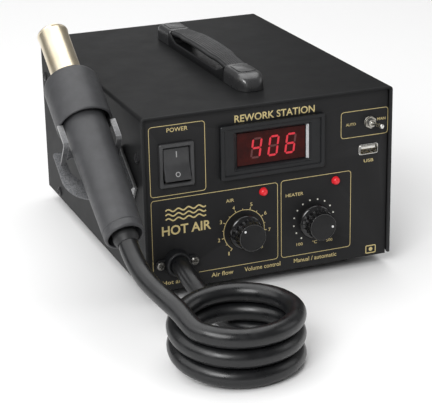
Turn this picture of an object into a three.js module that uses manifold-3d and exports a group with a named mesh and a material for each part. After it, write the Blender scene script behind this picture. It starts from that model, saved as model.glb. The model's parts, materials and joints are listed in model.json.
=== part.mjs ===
// A bench hot air station: a folded steel case with an air pump and a transformer inside, a control panel in
// front, a carry handle on top, and a handpiece that lies in a sheet holder on the left side. The handpiece's
// air hose lies in a coil in front of the case.
// Millimetres, +Z up. The front panel faces -Y. The origin is on the table, under the middle of the whole
// object without its hose. Everything is laid out about the middle of the case, and one group moves it all.
import * as THREE from "three";
import { mergeVertices } from "three/addons/utils/BufferGeometryUtils.js";
import Module from "manifold-3d";

const wasm = await Module();
wasm.setup();

// ---- Driving dimensions ----
const CASE_X = 23.8; // middle of the case in the part's frame
const CASE_Y = 21.2;
const GAP = 0.3; // clearance between touching pieces
const CASE_WIDTH = 187;
const CASE_DEPTH = 246;
const CASE_TOP = 135;
const COVER_BOTTOM = 10;
const SHEET = 1.2;
const HEM = 2; // the cover's folded front and rear edges
const HEM_DEPTH = 2.4;
const PANEL_RECESS = 3; // the front panel lies this far behind the cover's edge
const TRAY_BOTTOM = 8.2;
const FOOT_X = 66;
const FOOT_Y = 98;

const SIDE = CASE_WIDTH / 2; // outer face of the cover's side wall
const FRONT = -CASE_DEPTH / 2;
const PANEL_FRONT = FRONT + PANEL_RECESS;
const PANEL_BACK = PANEL_FRONT + SHEET;
const REAR_OUT = -PANEL_FRONT;
const REAR_IN = REAR_OUT - SHEET;
const TRAY_TOP = TRAY_BOTTOM + SHEET;
const CHASSIS_SIDE = SIDE - HEM - 0.4;
const CHASSIS_TOP = CASE_TOP - HEM - 0.4;
const LIP_BOTTOM = 30; // lower end of the end panels' side lips

// Controls, as x and z of their middles on the front panel.
const SWITCH = { x: -68.6, z: 99.5, width: 25, height: 31, holeWidth: 22.2, holeHeight: 28, tilt: 10 };
const DISPLAY = { x: 1.7, z: 102.7, width: 78, height: 39, holeWidth: 72.6, holeHeight: 34 };
const WINDOW = { width: 51.6, height: 23.8 };
const TOGGLE = { x: 76.9, z: 110.2, lean: 15 };
const USB = { x: 76.2, z: 90.2, width: 14.3, height: 6.9 };
const LAMPS = { led_air: [-4.9, 70.3], led_heater: [50.7, 70.3] };
const DIALS = { air: [-19.7, 43.7], heater: [33.8, 43] };
const GLAND = { x: -70.4, z: 28.6, earX: 12.4, boreR: 4, front: PANEL_FRONT - 7 };
const KNOB = { skirtR: 12.6, topR: 10.4, back: PANEL_FRONT - 3, front: PANEL_FRONT - 16, flutes: 20 };
const ROCKER_PIVOT_Y = PANEL_FRONT + 1.2;
const ROUND_HOLES = { toggle: 3.4, lamp: 3.1, dial: 4.9, gland: 8.4, screw: 1.9, fuse: 6.6 };

// Fittings on the rear panel.
const INLET = { x: 58, z: 40, width: 27.4, height: 20 };
const FUSE = { x: 22, z: 40 };
const VENT = { starts: [-76, 16], slots: 7, pitch: 10, width: 4, height: 32, z: 92 };

// Inside the case.
const PCB_THICK = 1.6;
const PCB_FRONT = -108.6; // the control board stands behind the front panel
const PUMP = { x0: -84, x1: -22, y0: -38, y1: 58, z0: 15, z1: 68, mount: 8, outletX: -62, outletZ: 46 };
const TRANSFORMER = { x0: 24, x1: 84, y0: 36, y1: 66, height: 50, limb: 10, bulge: 10 };
const POWER_BOARD = { x0: 18, x1: 86, y0: -96, y1: 14, z: 18, inset: 6 };

// Cover screws, as y and z on each side.
const COVER_SCREWS = [[-113.5, 105], [113.5, 105], [88.4, 15.5]];

// Carry handle on the top. The strap's heights are above the cover.
const HANDLE = { y: -5, half: 89.5, capLength: 32.5, width: 20.5, capHeight: 12.4, lift: 3, stud: 12 };
const STRAP = { floor: 4.5, tongueHalf: 7.2, tongueThick: 3, low: 7.4, thick: 4.4, rise: 3 };
const RAIL = { height: 5.2, wall: 1.6, floor: 1.1, shoulder: 15, shoulderHeight: 10.6 };

// Handpiece: its axis is tilted back from upright in a plane beside the case. Along it, s = 0 is the end of
// the handle and s grows towards the nozzle.
const AXIS_TILT = 56.1;
const AXIS = { x: -120, y: -162.4, z: 70.4 };
const S = { guardLow: 94.5, guardHigh: 136, mouth: 180, fork: 78 };
const HANDLE_R = { end: 13.6, guard: 15 };
const GUARD_R = 19.5;
const NOZZLE_R = 10.8;
const BOOT_END = -6;

// Holder sheet, about the handpiece's axis: x is across and y is the distance under the axis.
const HOLDER = { half: 23.3, sheet: 1.5, under: 15.5, armIn: 16.7, armOut: 20.4, armTop: 4.5 };
const HOLDER_SCREWS = [[28, 60], [28, 80]]; // under the axis, along it
const WALL_X = -SIDE - GAP - AXIS.x; // the case's side wall, across from the axis

// Air hose and its coil in front of the case.
const HOSE_R = 6.5;
const COIL = { x: -70, y: -227, radius: 35.5, stretch: 1.08, turns: 3, pitch: 13.2 };

// The hose from the gland down to the back of the coil, which it enters as the bottom turn.
const HOSE_FROM_GLAND = [
  [-70.4, -127.6, 28.6],
  [-70.4, -133, 28.6],
  [-69.6, -142, 25.6],
  [-66.9, -153, 19.4],
  [-63.4, -164, 13.6],
  [-60, -175, 9.6],
  [-57.6, -183.2, 7.6],
];

// The hose from the top of the coil up to the handpiece's end.
const HOSE_TO_HANDPIECE = [
  [-110.9, -220.5, 46.7],
  [-113.2, -213.5, 47.8],
  [-116, -203, 50.4],
  [-118.6, -191, 54.4],
  [-119.7, -180, 59.6],
  [-120, -172, 64.2],
  [-120, -167.7, 66.9],
];

// ---- Materials ----
const finish = (color, roughness, metalness = 0) =>
  new THREE.MeshStandardMaterial({ color, roughness, metalness });
const blackPaint = () => finish(0x2d2f30, 0.5, 0.2);
const blackPlastic = () => finish(0x1c1d1e, 0.45);
const rubber = () => finish(0x1a1a1b, 0.85);
const plating = () => finish(0xc9ccce, 0.3, 1);
const galvanised = () => finish(0xb4b6b8, 0.45, 0.9);
const nozzleSteel = () => finish(0xe8dcc0, 0.25, 1);
const redLens = () => finish(0xc8101c, 0.2);
const board = () => finish(0x1f5a37, 0.6);

// ---- Geometry helpers ----
function toSolid(geometry) {
  const bare = geometry.index ? geometry.toNonIndexed() : geometry.clone();
  bare.deleteAttribute("normal");
  bare.deleteAttribute("uv");
  const merged = mergeVertices(bare, 1e-4);
  return new wasm.Manifold(
    new wasm.Mesh({
      numProp: 3,
      vertProperties: merged.attributes.position.array,
      triVerts: new Uint32Array(merged.index.array),
    }),
  );
}

function toGeometry(solid) {
  const mesh = solid.getMesh();
  const geometry = new THREE.BufferGeometry();
  geometry.setAttribute("position", new THREE.BufferAttribute(mesh.vertProperties, 3));
  geometry.setIndex(new THREE.BufferAttribute(mesh.triVerts, 1));
  geometry.computeVertexNormals();
  return geometry;
}

const join = (...parts) => toGeometry(parts.map(toSolid).reduce((a, b) => a.add(b)));

const cut = (base, ...tools) =>
  toGeometry(tools.map(toSolid).reduce((left, tool) => left.subtract(tool), toSolid(base)));

const piece = (name, geometry, material) => {
  const mesh = new THREE.Mesh(geometry, material);
  mesh.name = name;
  return mesh;
};

const middle = (a, b) => (a + b) / 2;

const block = (x0, x1, y0, y1, z0, z1) =>
  new THREE.BoxGeometry(x1 - x0, y1 - y0, z1 - z0).translate(middle(x0, x1), middle(y0, y1), middle(z0, z1));

// Round bars along each axis, from one coordinate to another.
const bar = (radius, length, sides) => new THREE.CylinderGeometry(radius, radius, length, sides);

const barX = (radius, x0, x1, y, z, sides = 24) =>
  bar(radius, x1 - x0, sides).rotateZ(Math.PI / 2).translate(middle(x0, x1), y, z);

const barY = (radius, y0, y1, x, z, sides = 24) =>
  bar(radius, y1 - y0, sides).translate(x, middle(y0, y1), z);

const barZ = (radius, z0, z1, x, y, sides = 24) =>
  bar(radius, z1 - z0, sides).rotateX(Math.PI / 2).translate(x, y, middle(z0, z1));

// A closed turned profile of [radius, height] points about the Y axis. Its faces point out when the profile
// runs anticlockwise, so a clockwise one is turned round first.
function turned(points, sides = 32) {
  const vectors = points.map(([r, h]) => new THREE.Vector2(r, h));
  if (THREE.ShapeUtils.area(vectors) < 0) vectors.reverse();
  return new THREE.LatheGeometry(vectors.concat([vectors[0]]), sides);
}
const turnedUpright = (points, sides) => turned(points, sides).rotateX(Math.PI / 2);

function roundedRect(width, height, radius, x = 0, y = 0) {
  const shape = new THREE.Shape();
  const w = width / 2;
  const h = height / 2;
  shape.moveTo(x - w + radius, y - h);
  shape.lineTo(x + w - radius, y - h);
  shape.absarc(x + w - radius, y - h + radius, radius, -Math.PI / 2, 0);
  shape.lineTo(x + w, y + h - radius);
  shape.absarc(x + w - radius, y + h - radius, radius, 0, Math.PI / 2);
  shape.lineTo(x - w + radius, y + h);
  shape.absarc(x - w + radius, y + h - radius, radius, Math.PI / 2, Math.PI);
  shape.lineTo(x - w, y - h + radius);
  shape.absarc(x - w + radius, y - h + radius, radius, Math.PI, 1.5 * Math.PI);
  return shape;
}

function outline(points) {
  return new THREE.Shape(points.map(([x, y]) => new THREE.Vector2(x, y)));
}

const extrude = (shape, depth, extra = {}) =>
  new THREE.ExtrudeGeometry(shape, { depth, bevelEnabled: false, curveSegments: 3, ...extra });

// A shape drawn in x and z, made solid from one y to another.
const panelPiece = (shape, y0, y1, extra) =>
  extrude(shape, y1 - y0, extra).rotateX(Math.PI / 2).translate(0, y1, 0);

// A shape drawn in y and z, made solid from one x to another.
const sidePiece = (shape, x0, x1, extra) =>
  extrude(shape, x1 - x0, extra)
    .applyMatrix4(
      new THREE.Matrix4().makeBasis(
        new THREE.Vector3(0, 1, 0),
        new THREE.Vector3(0, 0, 1),
        new THREE.Vector3(1, 0, 0),
      ),
    )
    .translate(x0, 0, 0);

const hexagon = (acrossFlats) => {
  const r = acrossFlats / Math.sqrt(3);
  const angles = [0, 1, 2, 3, 4, 5].map((i) => (i * Math.PI) / 3);
  return outline(angles.map((a) => [r * Math.cos(a), r * Math.sin(a)]));
};

// ---- Case ----
// The cover's section across the case: two sides and a top, bent from one sheet.
function coverSection(thickness) {
  const bend = 2.5;
  const inner = SIDE - thickness;
  const shape = new THREE.Shape();
  shape.moveTo(-SIDE, COVER_BOTTOM);
  shape.lineTo(-inner, COVER_BOTTOM);
  shape.lineTo(-inner, CASE_TOP - thickness);
  shape.lineTo(inner, CASE_TOP - thickness);
  shape.lineTo(inner, COVER_BOTTOM);
  shape.lineTo(SIDE, COVER_BOTTOM);
  shape.lineTo(SIDE, CASE_TOP - bend);
  shape.absarc(SIDE - bend, CASE_TOP - bend, bend, 0, Math.PI / 2);
  shape.lineTo(-SIDE + bend, CASE_TOP);
  shape.absarc(-SIDE + bend, CASE_TOP - bend, bend, Math.PI / 2, Math.PI);
  return shape;
}

// Holes for the cover's screws, through whatever stands at that distance from the middle.
const coverScrewHoles = (places, wall) =>
  places.flatMap(([y, z]) => [-1, 1].map((side) => barX(2.1, side * wall - 3, side * wall + 3, y, z, 12)));

function cover() {
  const sheet = panelPiece(coverSection(SHEET), FRONT + HEM_DEPTH, -FRONT - HEM_DEPTH);
  const frontHem = panelPiece(coverSection(HEM), FRONT, FRONT + HEM_DEPTH);
  const rearHem = panelPiece(coverSection(HEM), -FRONT - HEM_DEPTH, -FRONT);
  const studY = HANDLE.half - HANDLE.stud;
  const holes = [
    ...coverScrewHoles(COVER_SCREWS, SIDE),
    ...[-studY, studY].map((y) => barZ(2.4, CASE_TOP - 3, CASE_TOP + 3, 0, HANDLE.y + y, 12)),
    ...holderScrewPlaces().map(([y, z]) => barX(2.4, -SIDE - 3, -SIDE + 3, y, z, 12)),
  ];
  return piece("cover", cut(join(sheet, frontHem, rearHem), ...holes), blackPaint());
}

// A plate across the case between two depths, with a lip turned back along each side and along the bottom.
function endPanel(y0, y1, inwards) {
  const wall = CHASSIS_SIDE;
  const lip = 14;
  const [lipY0, lipY1] = inwards > 0 ? [y0 + 0.2, y0 + lip] : [y1 - lip, y1 - 0.2];
  const foot = TRAY_TOP + GAP;
  return join(
    block(-wall, wall, y0, y1, TRAY_BOTTOM, CHASSIS_TOP),
    block(-wall, -wall + SHEET, lipY0, lipY1, LIP_BOTTOM, CHASSIS_TOP - 2),
    block(wall - SHEET, wall, lipY0, lipY1, LIP_BOTTOM, CHASSIS_TOP - 2),
    block(-wall + 4, wall - 4, lipY0, lipY1, foot, foot + SHEET),
  );
}

function frontPanel() {
  const through = (shape) => panelPiece(shape, PANEL_FRONT - 2, PANEL_BACK + 2);
  const round = (radius, x, z) => barY(radius, PANEL_FRONT - 2, PANEL_BACK + 2, x, z, 20);
  const holes = [
    through(roundedRect(SWITCH.holeWidth, SWITCH.holeHeight, 0.6, SWITCH.x, SWITCH.z)),
    through(roundedRect(DISPLAY.holeWidth, DISPLAY.holeHeight, 0.6, DISPLAY.x, DISPLAY.z)),
    through(roundedRect(USB.width + 0.8, USB.height + 0.8, 0.4, USB.x, USB.z)),
    round(ROUND_HOLES.toggle, TOGGLE.x, TOGGLE.z),
    ...Object.values(LAMPS).map(([x, z]) => round(ROUND_HOLES.lamp, x, z)),
    ...Object.values(DIALS).map(([x, z]) => round(ROUND_HOLES.dial, x, z)),
    round(ROUND_HOLES.gland, GLAND.x, GLAND.z),
    round(ROUND_HOLES.screw, GLAND.x - GLAND.earX, GLAND.z),
    round(ROUND_HOLES.screw, GLAND.x + GLAND.earX, GLAND.z),
    ...coverScrewHoles(COVER_SCREWS.slice(0, 1), CHASSIS_SIDE),
  ];
  return piece("front_panel", cut(endPanel(PANEL_FRONT, PANEL_BACK, 1), ...holes), blackPaint());
}

function rearPanel() {
  const through = (shape) => panelPiece(shape, REAR_IN - 2, REAR_OUT + 2);
  const holes = [
    through(roundedRect(INLET.width + 0.8, INLET.height + 0.8, 3, INLET.x, INLET.z)),
    barY(ROUND_HOLES.fuse, REAR_IN - 2, REAR_OUT + 2, FUSE.x, FUSE.z, 20),
    ...coverScrewHoles(COVER_SCREWS.slice(1, 2), CHASSIS_SIDE),
  ];
  for (let i = 0; i < VENT.slots; i++) {
    for (const x of VENT.starts) {
      holes.push(through(roundedRect(VENT.width, VENT.height, 1.4, x + i * VENT.pitch, VENT.z)));
    }
  }
  return piece("rear_panel", cut(endPanel(REAR_IN, REAR_OUT, -1), ...holes), blackPaint());
}

// The floor of the case, with a lip up each side and posts for the power board.
function baseTray() {
  const wall = CHASSIS_SIDE;
  const lipTop = TRAY_TOP + 14;
  const y0 = PANEL_BACK + GAP;
  const y1 = REAR_IN - GAP;
  const tray = join(
    block(-wall, wall, y0, y1, TRAY_BOTTOM, TRAY_TOP),
    block(-wall, -wall + SHEET, -100, 100, TRAY_BOTTOM + 0.2, lipTop),
    block(wall - SHEET, wall, -100, 100, TRAY_BOTTOM + 0.2, lipTop),
    ...boardPostPlaces().map(([x, y]) => barZ(3, TRAY_TOP - 0.5, POWER_BOARD.z - GAP, x, y, 6)),
  );
  const holes = [
    ...coverScrewHoles(COVER_SCREWS.slice(2), wall),
    ...footPlaces().map(({ x, y }) => barZ(2.7, TRAY_BOTTOM - 2, TRAY_TOP + 2, x, y, 16)),
  ];
  return piece("base_tray", cut(tray, ...holes), blackPaint());
}

function footPlaces() {
  return [
    { name: "front_left", x: -FOOT_X, y: -FOOT_Y },
    { name: "front_right", x: FOOT_X, y: -FOOT_Y },
    { name: "rear_left", x: -FOOT_X, y: FOOT_Y },
    { name: "rear_right", x: FOOT_X, y: FOOT_Y },
  ];
}

// Rubber feet with a stem that is pushed through the tray.
function feet() {
  const top = TRAY_BOTTOM - GAP;
  const profile = [
    [0, 0],
    [6.1, 0],
    [6.6, 0.5],
    [7.2, top],
    [2.2, top],
    [2.2, TRAY_TOP + 1.4],
    [1.4, TRAY_TOP + 4],
    [0, TRAY_TOP + 4],
  ];
  return footPlaces().map(({ name, x, y }) =>
    piece("foot_" + name, turnedUpright(profile, 20).translate(x, y, 0), rubber()),
  );
}

// A domed screw along X: its head stands out on the side given.
function sideScrew(side, faceX, y, z, headR, shankR, length) {
  const head = 2.1;
  const profile = [
    [0, -length],
    [shankR, -length],
    [shankR, GAP],
    [headR, GAP],
    [headR, head * 0.45],
    [headR * 0.75, head * 0.85],
    [headR * 0.3, head + 0.1],
    [0, head + 0.1],
  ];
  return turned(profile, 12)
    .rotateZ(side > 0 ? -Math.PI / 2 : Math.PI / 2)
    .translate(faceX, y, z);
}

function coverScrews() {
  const names = ["front", "rear", "low"];
  return [-1, 1].flatMap((side) =>
    COVER_SCREWS.map(([y, z], i) =>
      piece(
        "cover_screw_" + (side < 0 ? "left_" : "right_") + names[i],
        sideScrew(side, side * SIDE, y, z, 3.6, 1.7, 7),
        blackPlastic(),
      ),
    ),
  );
}

// ---- Carry handle ----
// One cap. Its side outline runs from the grip to the nose, as y outwards and z above the cover. A slot on the
// grip side takes the strap's tongue, and a stud goes down through the cover.
function handleCap(end) {
  const h = HANDLE;
  const inner = h.half - h.capLength;
  const profile = new THREE.Shape();
  profile.moveTo(inner, 0);
  profile.lineTo(h.half - 1.6, 0);
  profile.lineTo(h.half, 1.6);
  profile.quadraticCurveTo(h.half, h.capHeight - 3.4, h.half - 7, h.capHeight - 1.2);
  profile.quadraticCurveTo(h.half - 16, h.capHeight, inner, h.capHeight);
  const bevel = 1;
  const body = sidePiece(profile, -h.width / 2 + bevel, h.width / 2 - bevel, {
    bevelEnabled: true,
    bevelThickness: bevel,
    bevelSize: bevel,
    bevelOffset: -bevel,
    bevelSegments: 2,
    curveSegments: 5,
  });
  const { floor, tongueHalf, tongueThick } = STRAP;
  const side = tongueHalf + 0.4;
  const slot = block(-side, side, inner - 1, inner + 15.5, floor, floor + tongueThick + h.lift + 2 * GAP);
  const stud = barZ(2, -SHEET - 7, 1, 0, h.half - h.stud, 12);
  const made = join(cut(body, slot), stud).translate(0, 0, CASE_TOP + GAP);
  return (end < 0 ? made.rotateZ(Math.PI) : made).translate(0, h.y, 0);
}

// The base between the caps: a floor and two side walls, which rise to the caps in slanted shoulders.
function handleRail(inner) {
  const { height, wall, floor, shoulder, shoulderHeight } = RAIL;
  const end = inner - 0.4;
  const half = HANDLE.width / 2;
  const side = new THREE.Shape();
  side.moveTo(-end, 0);
  side.lineTo(end, 0);
  side.lineTo(end, shoulderHeight);
  side.lineTo(end - shoulder, height);
  side.lineTo(shoulder - end, height);
  side.lineTo(-end, shoulderHeight);
  return join(
    block(-half + 0.5, half - 0.5, -end, end, 0, floor),
    sidePiece(side, -half, wall - half),
    sidePiece(side, half - wall, half),
  );
}

// The caps, the rail and the soft strap, which bows up between the caps.
function carryHandle() {
  const h = HANDLE;
  const inner = h.half - h.capLength;
  const grip = inner - 0.6;
  const { floor, tongueHalf, tongueThick, low, thick, rise } = STRAP;
  const arch = new THREE.Shape();
  arch.moveTo(-grip, low);
  arch.quadraticCurveTo(0, low + 2 * rise, grip, low);
  arch.lineTo(grip, low + thick);
  arch.quadraticCurveTo(0, low + thick + 2 * rise, -grip, low + thick);
  const bevel = 1.2;
  const arched = sidePiece(arch, -h.width / 2 + bevel, h.width / 2 - bevel, {
    bevelEnabled: true,
    bevelThickness: bevel,
    bevelSize: bevel,
    bevelOffset: -bevel,
    bevelSegments: 2,
    curveSegments: 16,
  });
  // The same block at both ends of the strap, or at all four of its corners.
  const both = (x0, x1, y0, y1, z0, z1) => [block(x0, x1, y0, y1, z0, z1), block(x0, x1, -y1, -y0, z0, z1)];
  const corners = (x0, x1, ...rest) => [...both(x0, x1, ...rest), ...both(-x1, -x0, ...rest)];
  const neck = h.width / 2 - RAIL.wall - 0.45; // half width between the rail's shoulders
  const sides = corners(neck, h.width, inner - RAIL.shoulder - 1, inner + 1, 0, h.width);
  // Each end has a tongue that lies in the cap's slot, and a root that joins it to the arch.
  const tongueLow = floor + GAP + 0.2;
  const tongues = both(-tongueHalf, tongueHalf, grip - 4, inner + 14.5, tongueLow, floor + GAP + tongueThick);
  const roots = both(-tongueHalf, tongueHalf, grip - 9, grip - 1, tongueLow, low + 2);
  const strap = join(cut(arched, ...sides), ...tongues, ...roots);
  const base = CASE_TOP + GAP;
  return [
    piece("handle_cap_front", handleCap(-1), blackPlastic()),
    piece("handle_cap_rear", handleCap(1), blackPlastic()),
    piece("handle_strap", strap.translate(0, h.y, base), rubber()),
    piece("handle_base", handleRail(inner).translate(0, h.y, base), blackPlastic()),
  ];
}

// ---- Controls on the front panel ----
function powerSwitch() {
  const { x, z, width, height, tilt } = SWITCH;
  const face = PANEL_FRONT - GAP;
  const flange = panelPiece(roundedRect(width, height, 1.2, x, z), face - 2, face);
  const body = panelPiece(roundedRect(21.6, 27.4, 0.5, x, z), face - 1, face + 20);
  const pocket = panelPiece(roundedRect(19.4, 25, 0.4, x, z), face - 4, face + 12);
  const blades = [-8, 0, 8].map((dz) =>
    block(x - 3, x + 3, face + 19, face + 27, z + dz - 0.4, z + dz + 0.4),
  );
  const frame = join(cut(join(flange, body), pocket), ...blades);
  const reach = 11.4;
  const rocker = new THREE.Shape();
  rocker.moveTo(-4.2, -reach);
  rocker.lineTo(-3.2, -3);
  rocker.quadraticCurveTo(-2.8, 0, -3.2, 3);
  rocker.lineTo(-4.2, reach);
  rocker.lineTo(2, reach - 1.4);
  rocker.lineTo(6, 3);
  rocker.lineTo(6, -3);
  rocker.lineTo(2, -reach + 1.4);
  const key = sidePiece(rocker, -9.3, 9.3)
    .rotateX(THREE.MathUtils.degToRad(-tilt))
    .translate(x, ROCKER_PIVOT_Y, z);
  return [piece("rocker_frame", frame, blackPlastic()), piece("rocker", key, blackPlastic())];
}

function display() {
  const { x, z, width, height } = DISPLAY;
  const face = PANEL_FRONT - GAP;
  const rim = panelPiece(roundedRect(width, height, 1.2, x, z), face - 3.4, face);
  const body = panelPiece(roundedRect(72, 33.4, 0.5, x, z), face - 1, face + 10);
  const inside = panelPiece(roundedRect(width - 6, height - 6, 0.5, x, z), face - 5, face - 2.4);
  const slope = 6.4;
  const funnel = panelPiece(roundedRect(WINDOW.width, WINDOW.height, 0.4, x, z), face - 3, face + 0.2, {
    bevelEnabled: true,
    bevelThickness: 1.7,
    bevelSize: slope,
    bevelSegments: 1,
    curveSegments: 3,
  });
  const tunnel = panelPiece(roundedRect(WINDOW.width, WINDOW.height, 0.4, x, z), face - 5, face + 3);
  const room = panelPiece(roundedRect(68, 29.4, 0.4, x, z), face + 2.6, face + 12);
  const bezel = cut(join(rim, body), inside, funnel, tunnel, room);
  const pane = roundedRect(WINDOW.width - 2 * GAP, WINDOW.height - 2 * GAP, 0.3, x, z);
  const window = panelPiece(pane, face + 0.9, face + 2.3);
  return [
    piece("display_bezel", bezel, blackPlastic()),
    piece("display_window", window, redLens()),
  ];
}

// The three digit blocks, which are soldered to the control board behind the window.
function digitBlocks() {
  const { x, z } = DISPLAY;
  const pitch = 12.7;
  const front = PANEL_FRONT + 2.7;
  const blocks = [-pitch, 0, pitch].map((dx) =>
    panelPiece(roundedRect(11.6, 18.4, 0.6, x + dx, z), front, front + 6.5),
  );
  const carrier = panelPiece(roundedRect(44, 24, 0.4, x, z), front + 5.8, PCB_FRONT + 0.2);
  return [carrier, ...blocks];
}

function toggleSwitch() {
  const { x, z, lean } = TOGGLE;
  const bodyFront = PANEL_BACK + GAP;
  const ball = PANEL_FRONT - 3.4;
  const body = join(
    block(x - 4, x + 4, bodyFront, PCB_FRONT - GAP, z - 6.4, z + 6.4),
    barY(3, ball - 1.2, bodyFront + 1, x, z, 20),
  );
  const socket = barY(2.1, ball - 4, ball + 6, x, z, 16);
  const nut = panelPiece(hexagon(8), PANEL_FRONT - GAP - 2.2, PANEL_FRONT - GAP);
  const bored = cut(nut, barY(3.3, PANEL_FRONT - 6, PANEL_FRONT + 2, 0, 0, 20)).translate(x, 0, z);
  const profile = [
    [0, -4],
    [0.9, -4],
    [0.9, -1.4],
    [1.7, -0.6],
    [1.7, 0.6],
    [1.15, 1.6],
    [1.6, 10.4],
    [1.3, 11.2],
    [0, 11.5],
  ];
  const lever = turned(profile, 14)
    .rotateX(Math.PI)
    .rotateZ(THREE.MathUtils.degToRad(lean))
    .translate(x, ball, z);
  return [
    piece("toggle_body", cut(body, socket), blackPlastic()),
    piece("toggle_nut", bored, plating()),
    piece("toggle_lever", lever, plating()),
  ];
}

function usbSocket() {
  const { x, z, width, height } = USB;
  const wall = 0.5;
  const shell = cut(
    panelPiece(roundedRect(width, height, 0.6, x, z), PANEL_FRONT - 1.2, PCB_FRONT - GAP),
    panelPiece(roundedRect(width - 2 * wall, height - 2 * wall, 0.3, x, z), PANEL_FRONT - 3, PCB_FRONT - 2),
  );
  const tongue = block(x - 5.6, x + 5.6, PANEL_FRONT + 0.2, PCB_FRONT - 1, z + 0.3, z + 2.2);
  return [piece("usb_socket", join(shell, tongue), plating())];
}

function lamps() {
  const back = PANEL_BACK + GAP;
  const tip = PANEL_FRONT - 3.4;
  const profile = [[0, back + 1.2], [3.7, back + 1.2], [3.7, back], [2.8, back], [2.8, tip + 2.4]];
  for (let i = 1; i <= 5; i++) {
    const a = (i * Math.PI) / 10;
    profile.push([2.8 * Math.cos(a), tip + 2.4 - 2.8 * Math.sin(a)]);
  }
  return Object.entries(LAMPS).map(([name, [x, z]]) =>
    piece(name, turned(profile, 16).translate(x, 0, z), redLens()),
  );
}

function flutedOutline(radius, depth, flutes) {
  const points = [];
  const steps = 4;
  for (let i = 0; i < flutes * steps; i++) {
    const angle = (i * 2 * Math.PI) / (flutes * steps);
    const r = radius - depth * (i % steps === 2 ? 1 : i % steps === 0 ? 0 : 0.5);
    points.push([r * Math.cos(angle), r * Math.sin(angle)]);
  }
  return outline(points);
}

function dials() {
  const made = [];
  for (const [name, [x, z]] of Object.entries(DIALS)) {
    const front = PANEL_BACK + GAP;
    const bush = PANEL_FRONT - 6;
    const pot = turned(
      [
        [3.3, bush],
        [4.5, bush],
        [4.5, front],
        [8.4, front],
        [8.4, PCB_FRONT - GAP],
        [0, PCB_FRONT - GAP],
        [0, PCB_FRONT - 2],
        [3.3, PCB_FRONT - 2],
      ],
      20,
    ).translate(x, 0, z);
    const shaft = barY(3, KNOB.front + 4, PCB_FRONT - 2 - GAP, x, z, 20);
    const nut = cut(
      panelPiece(hexagon(12), PANEL_FRONT - GAP - 2, PANEL_FRONT - GAP),
      barY(4, PANEL_FRONT - 6, PANEL_FRONT + 2, 0, 0, 20),
    ).translate(x, 0, z);
    const skirt = barY(KNOB.skirtR, KNOB.back - 3, KNOB.back, 0, 0, 40);
    const grip = panelPiece(flutedOutline(KNOB.topR, 0.8, KNOB.flutes), KNOB.front, KNOB.back - 2);
    const hollow = barY(7.6, KNOB.back - 4, KNOB.back + 2, 0, 0, 20);
    const bore = barY(3.3, KNOB.front + 3.7, KNOB.back + 1, 0, 0, 20);
    made.push(
      piece("pot_" + name, join(pot, nut), finish(0x8d9092, 0.4, 0.8)),
      piece("pot_shaft_" + name, shaft, plating()),
      piece("knob_" + name, cut(join(skirt, grip), hollow, bore).translate(x, 0, z), blackPlastic()),
    );
  }
  return made;
}

function hoseGland() {
  const { x, z, earX } = GLAND;
  const face = PANEL_FRONT - GAP;
  const ears = panelPiece(roundedRect(2 * earX + 7, 7.4, 3.6, 0, 0), face - 2.4, face);
  const boss = turned(
    [
      [GLAND.boreR, GLAND.front],
      [8.2, GLAND.front],
      [8.9, GLAND.front + 1],
      [9.8, face - 1],
      [9.8, face],
      [8, face],
      [8, face + 4],
      [5.4, face + 4],
      [5.4, face + 16],
      [GLAND.boreR, face + 16],
    ],
    24,
  );
  const holes = [-1, 1].map((side) => barY(1.9, face - 6, face + 4, side * earX, 0, 12));
  const bore = barY(GLAND.boreR, GLAND.front - 2, face + 20, 0, 0, 24);
  const gland = cut(join(ears, boss), ...holes, bore).translate(x, 0, z);
  const screw = [
    [0, 7],
    [1.5, 7],
    [1.5, -2.4 - GAP],
    [2.9, -2.4 - GAP],
    [2.9, -3.4],
    [2.2, -4.3],
    [0, -4.6],
  ];
  return [
    piece("hose_gland", gland, blackPlastic()),
    ...[-1, 1].map((side) =>
      piece(
        "gland_screw_" + (side < 0 ? "left" : "right"),
        turned(screw, 14).translate(x + side * earX, face, z),
        plating(),
      ),
    ),
  ];
}

// ---- Inside the case ----
function airPump() {
  const { x0, x1, y0, y1, z0, z1, mount, outletX, outletZ } = PUMP;
  const joint = z1 - 6; // between the body and its lid
  const shell = join(
    block(x0, x1, y0, y1, z0, joint),
    block(x0 + 10, x1 - 10, y0 - 9, y0 + 2, z0 + 6, z1 - 10),
    barY(3.6, y0 - 24, y0 - 6, outletX, outletZ, 16),
  );
  const lid = join(
    block(x0 + 1, x1 - 1, y0 + 1, y1 - 1, joint + GAP, z1),
    block(x0 + 12, x1 - 12, y0 + 30, y1 - 30, z1 - 1, z1 + 14),
  );
  const outletBore = barY(2.2, y0 - 30, y0 + 10, outletX, outletZ, 12);
  const made = [
    piece("pump_body", cut(shell, outletBore), finish(0x8f9396, 0.5, 0.6)),
    piece("pump_lid", lid, blackPlastic()),
  ];
  for (const [name, x] of [["left", x0 + mount], ["right", x1 - mount]]) {
    const strip = block(x - 5, x + 5, y0 + 4, y1 - 4, TRAY_TOP + GAP, z0 - GAP);
    made.push(piece("pump_mount_" + name, strip, rubber()));
  }
  const route = [
    [outletX, y0 - 24.4, outletZ],
    [outletX, y0 - 30, outletZ],
    [GLAND.x + 4, y0 - 43, GLAND.z + 9],
    [GLAND.x, y0 - 58, GLAND.z],
    [GLAND.x, PANEL_FRONT + 16.2, GLAND.z],
  ];
  made.push(piece("air_tube", hoseTube(route, 4.6, 8, 16), finish(0xd8d4c4, 0.5)));
  return made;
}

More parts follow.
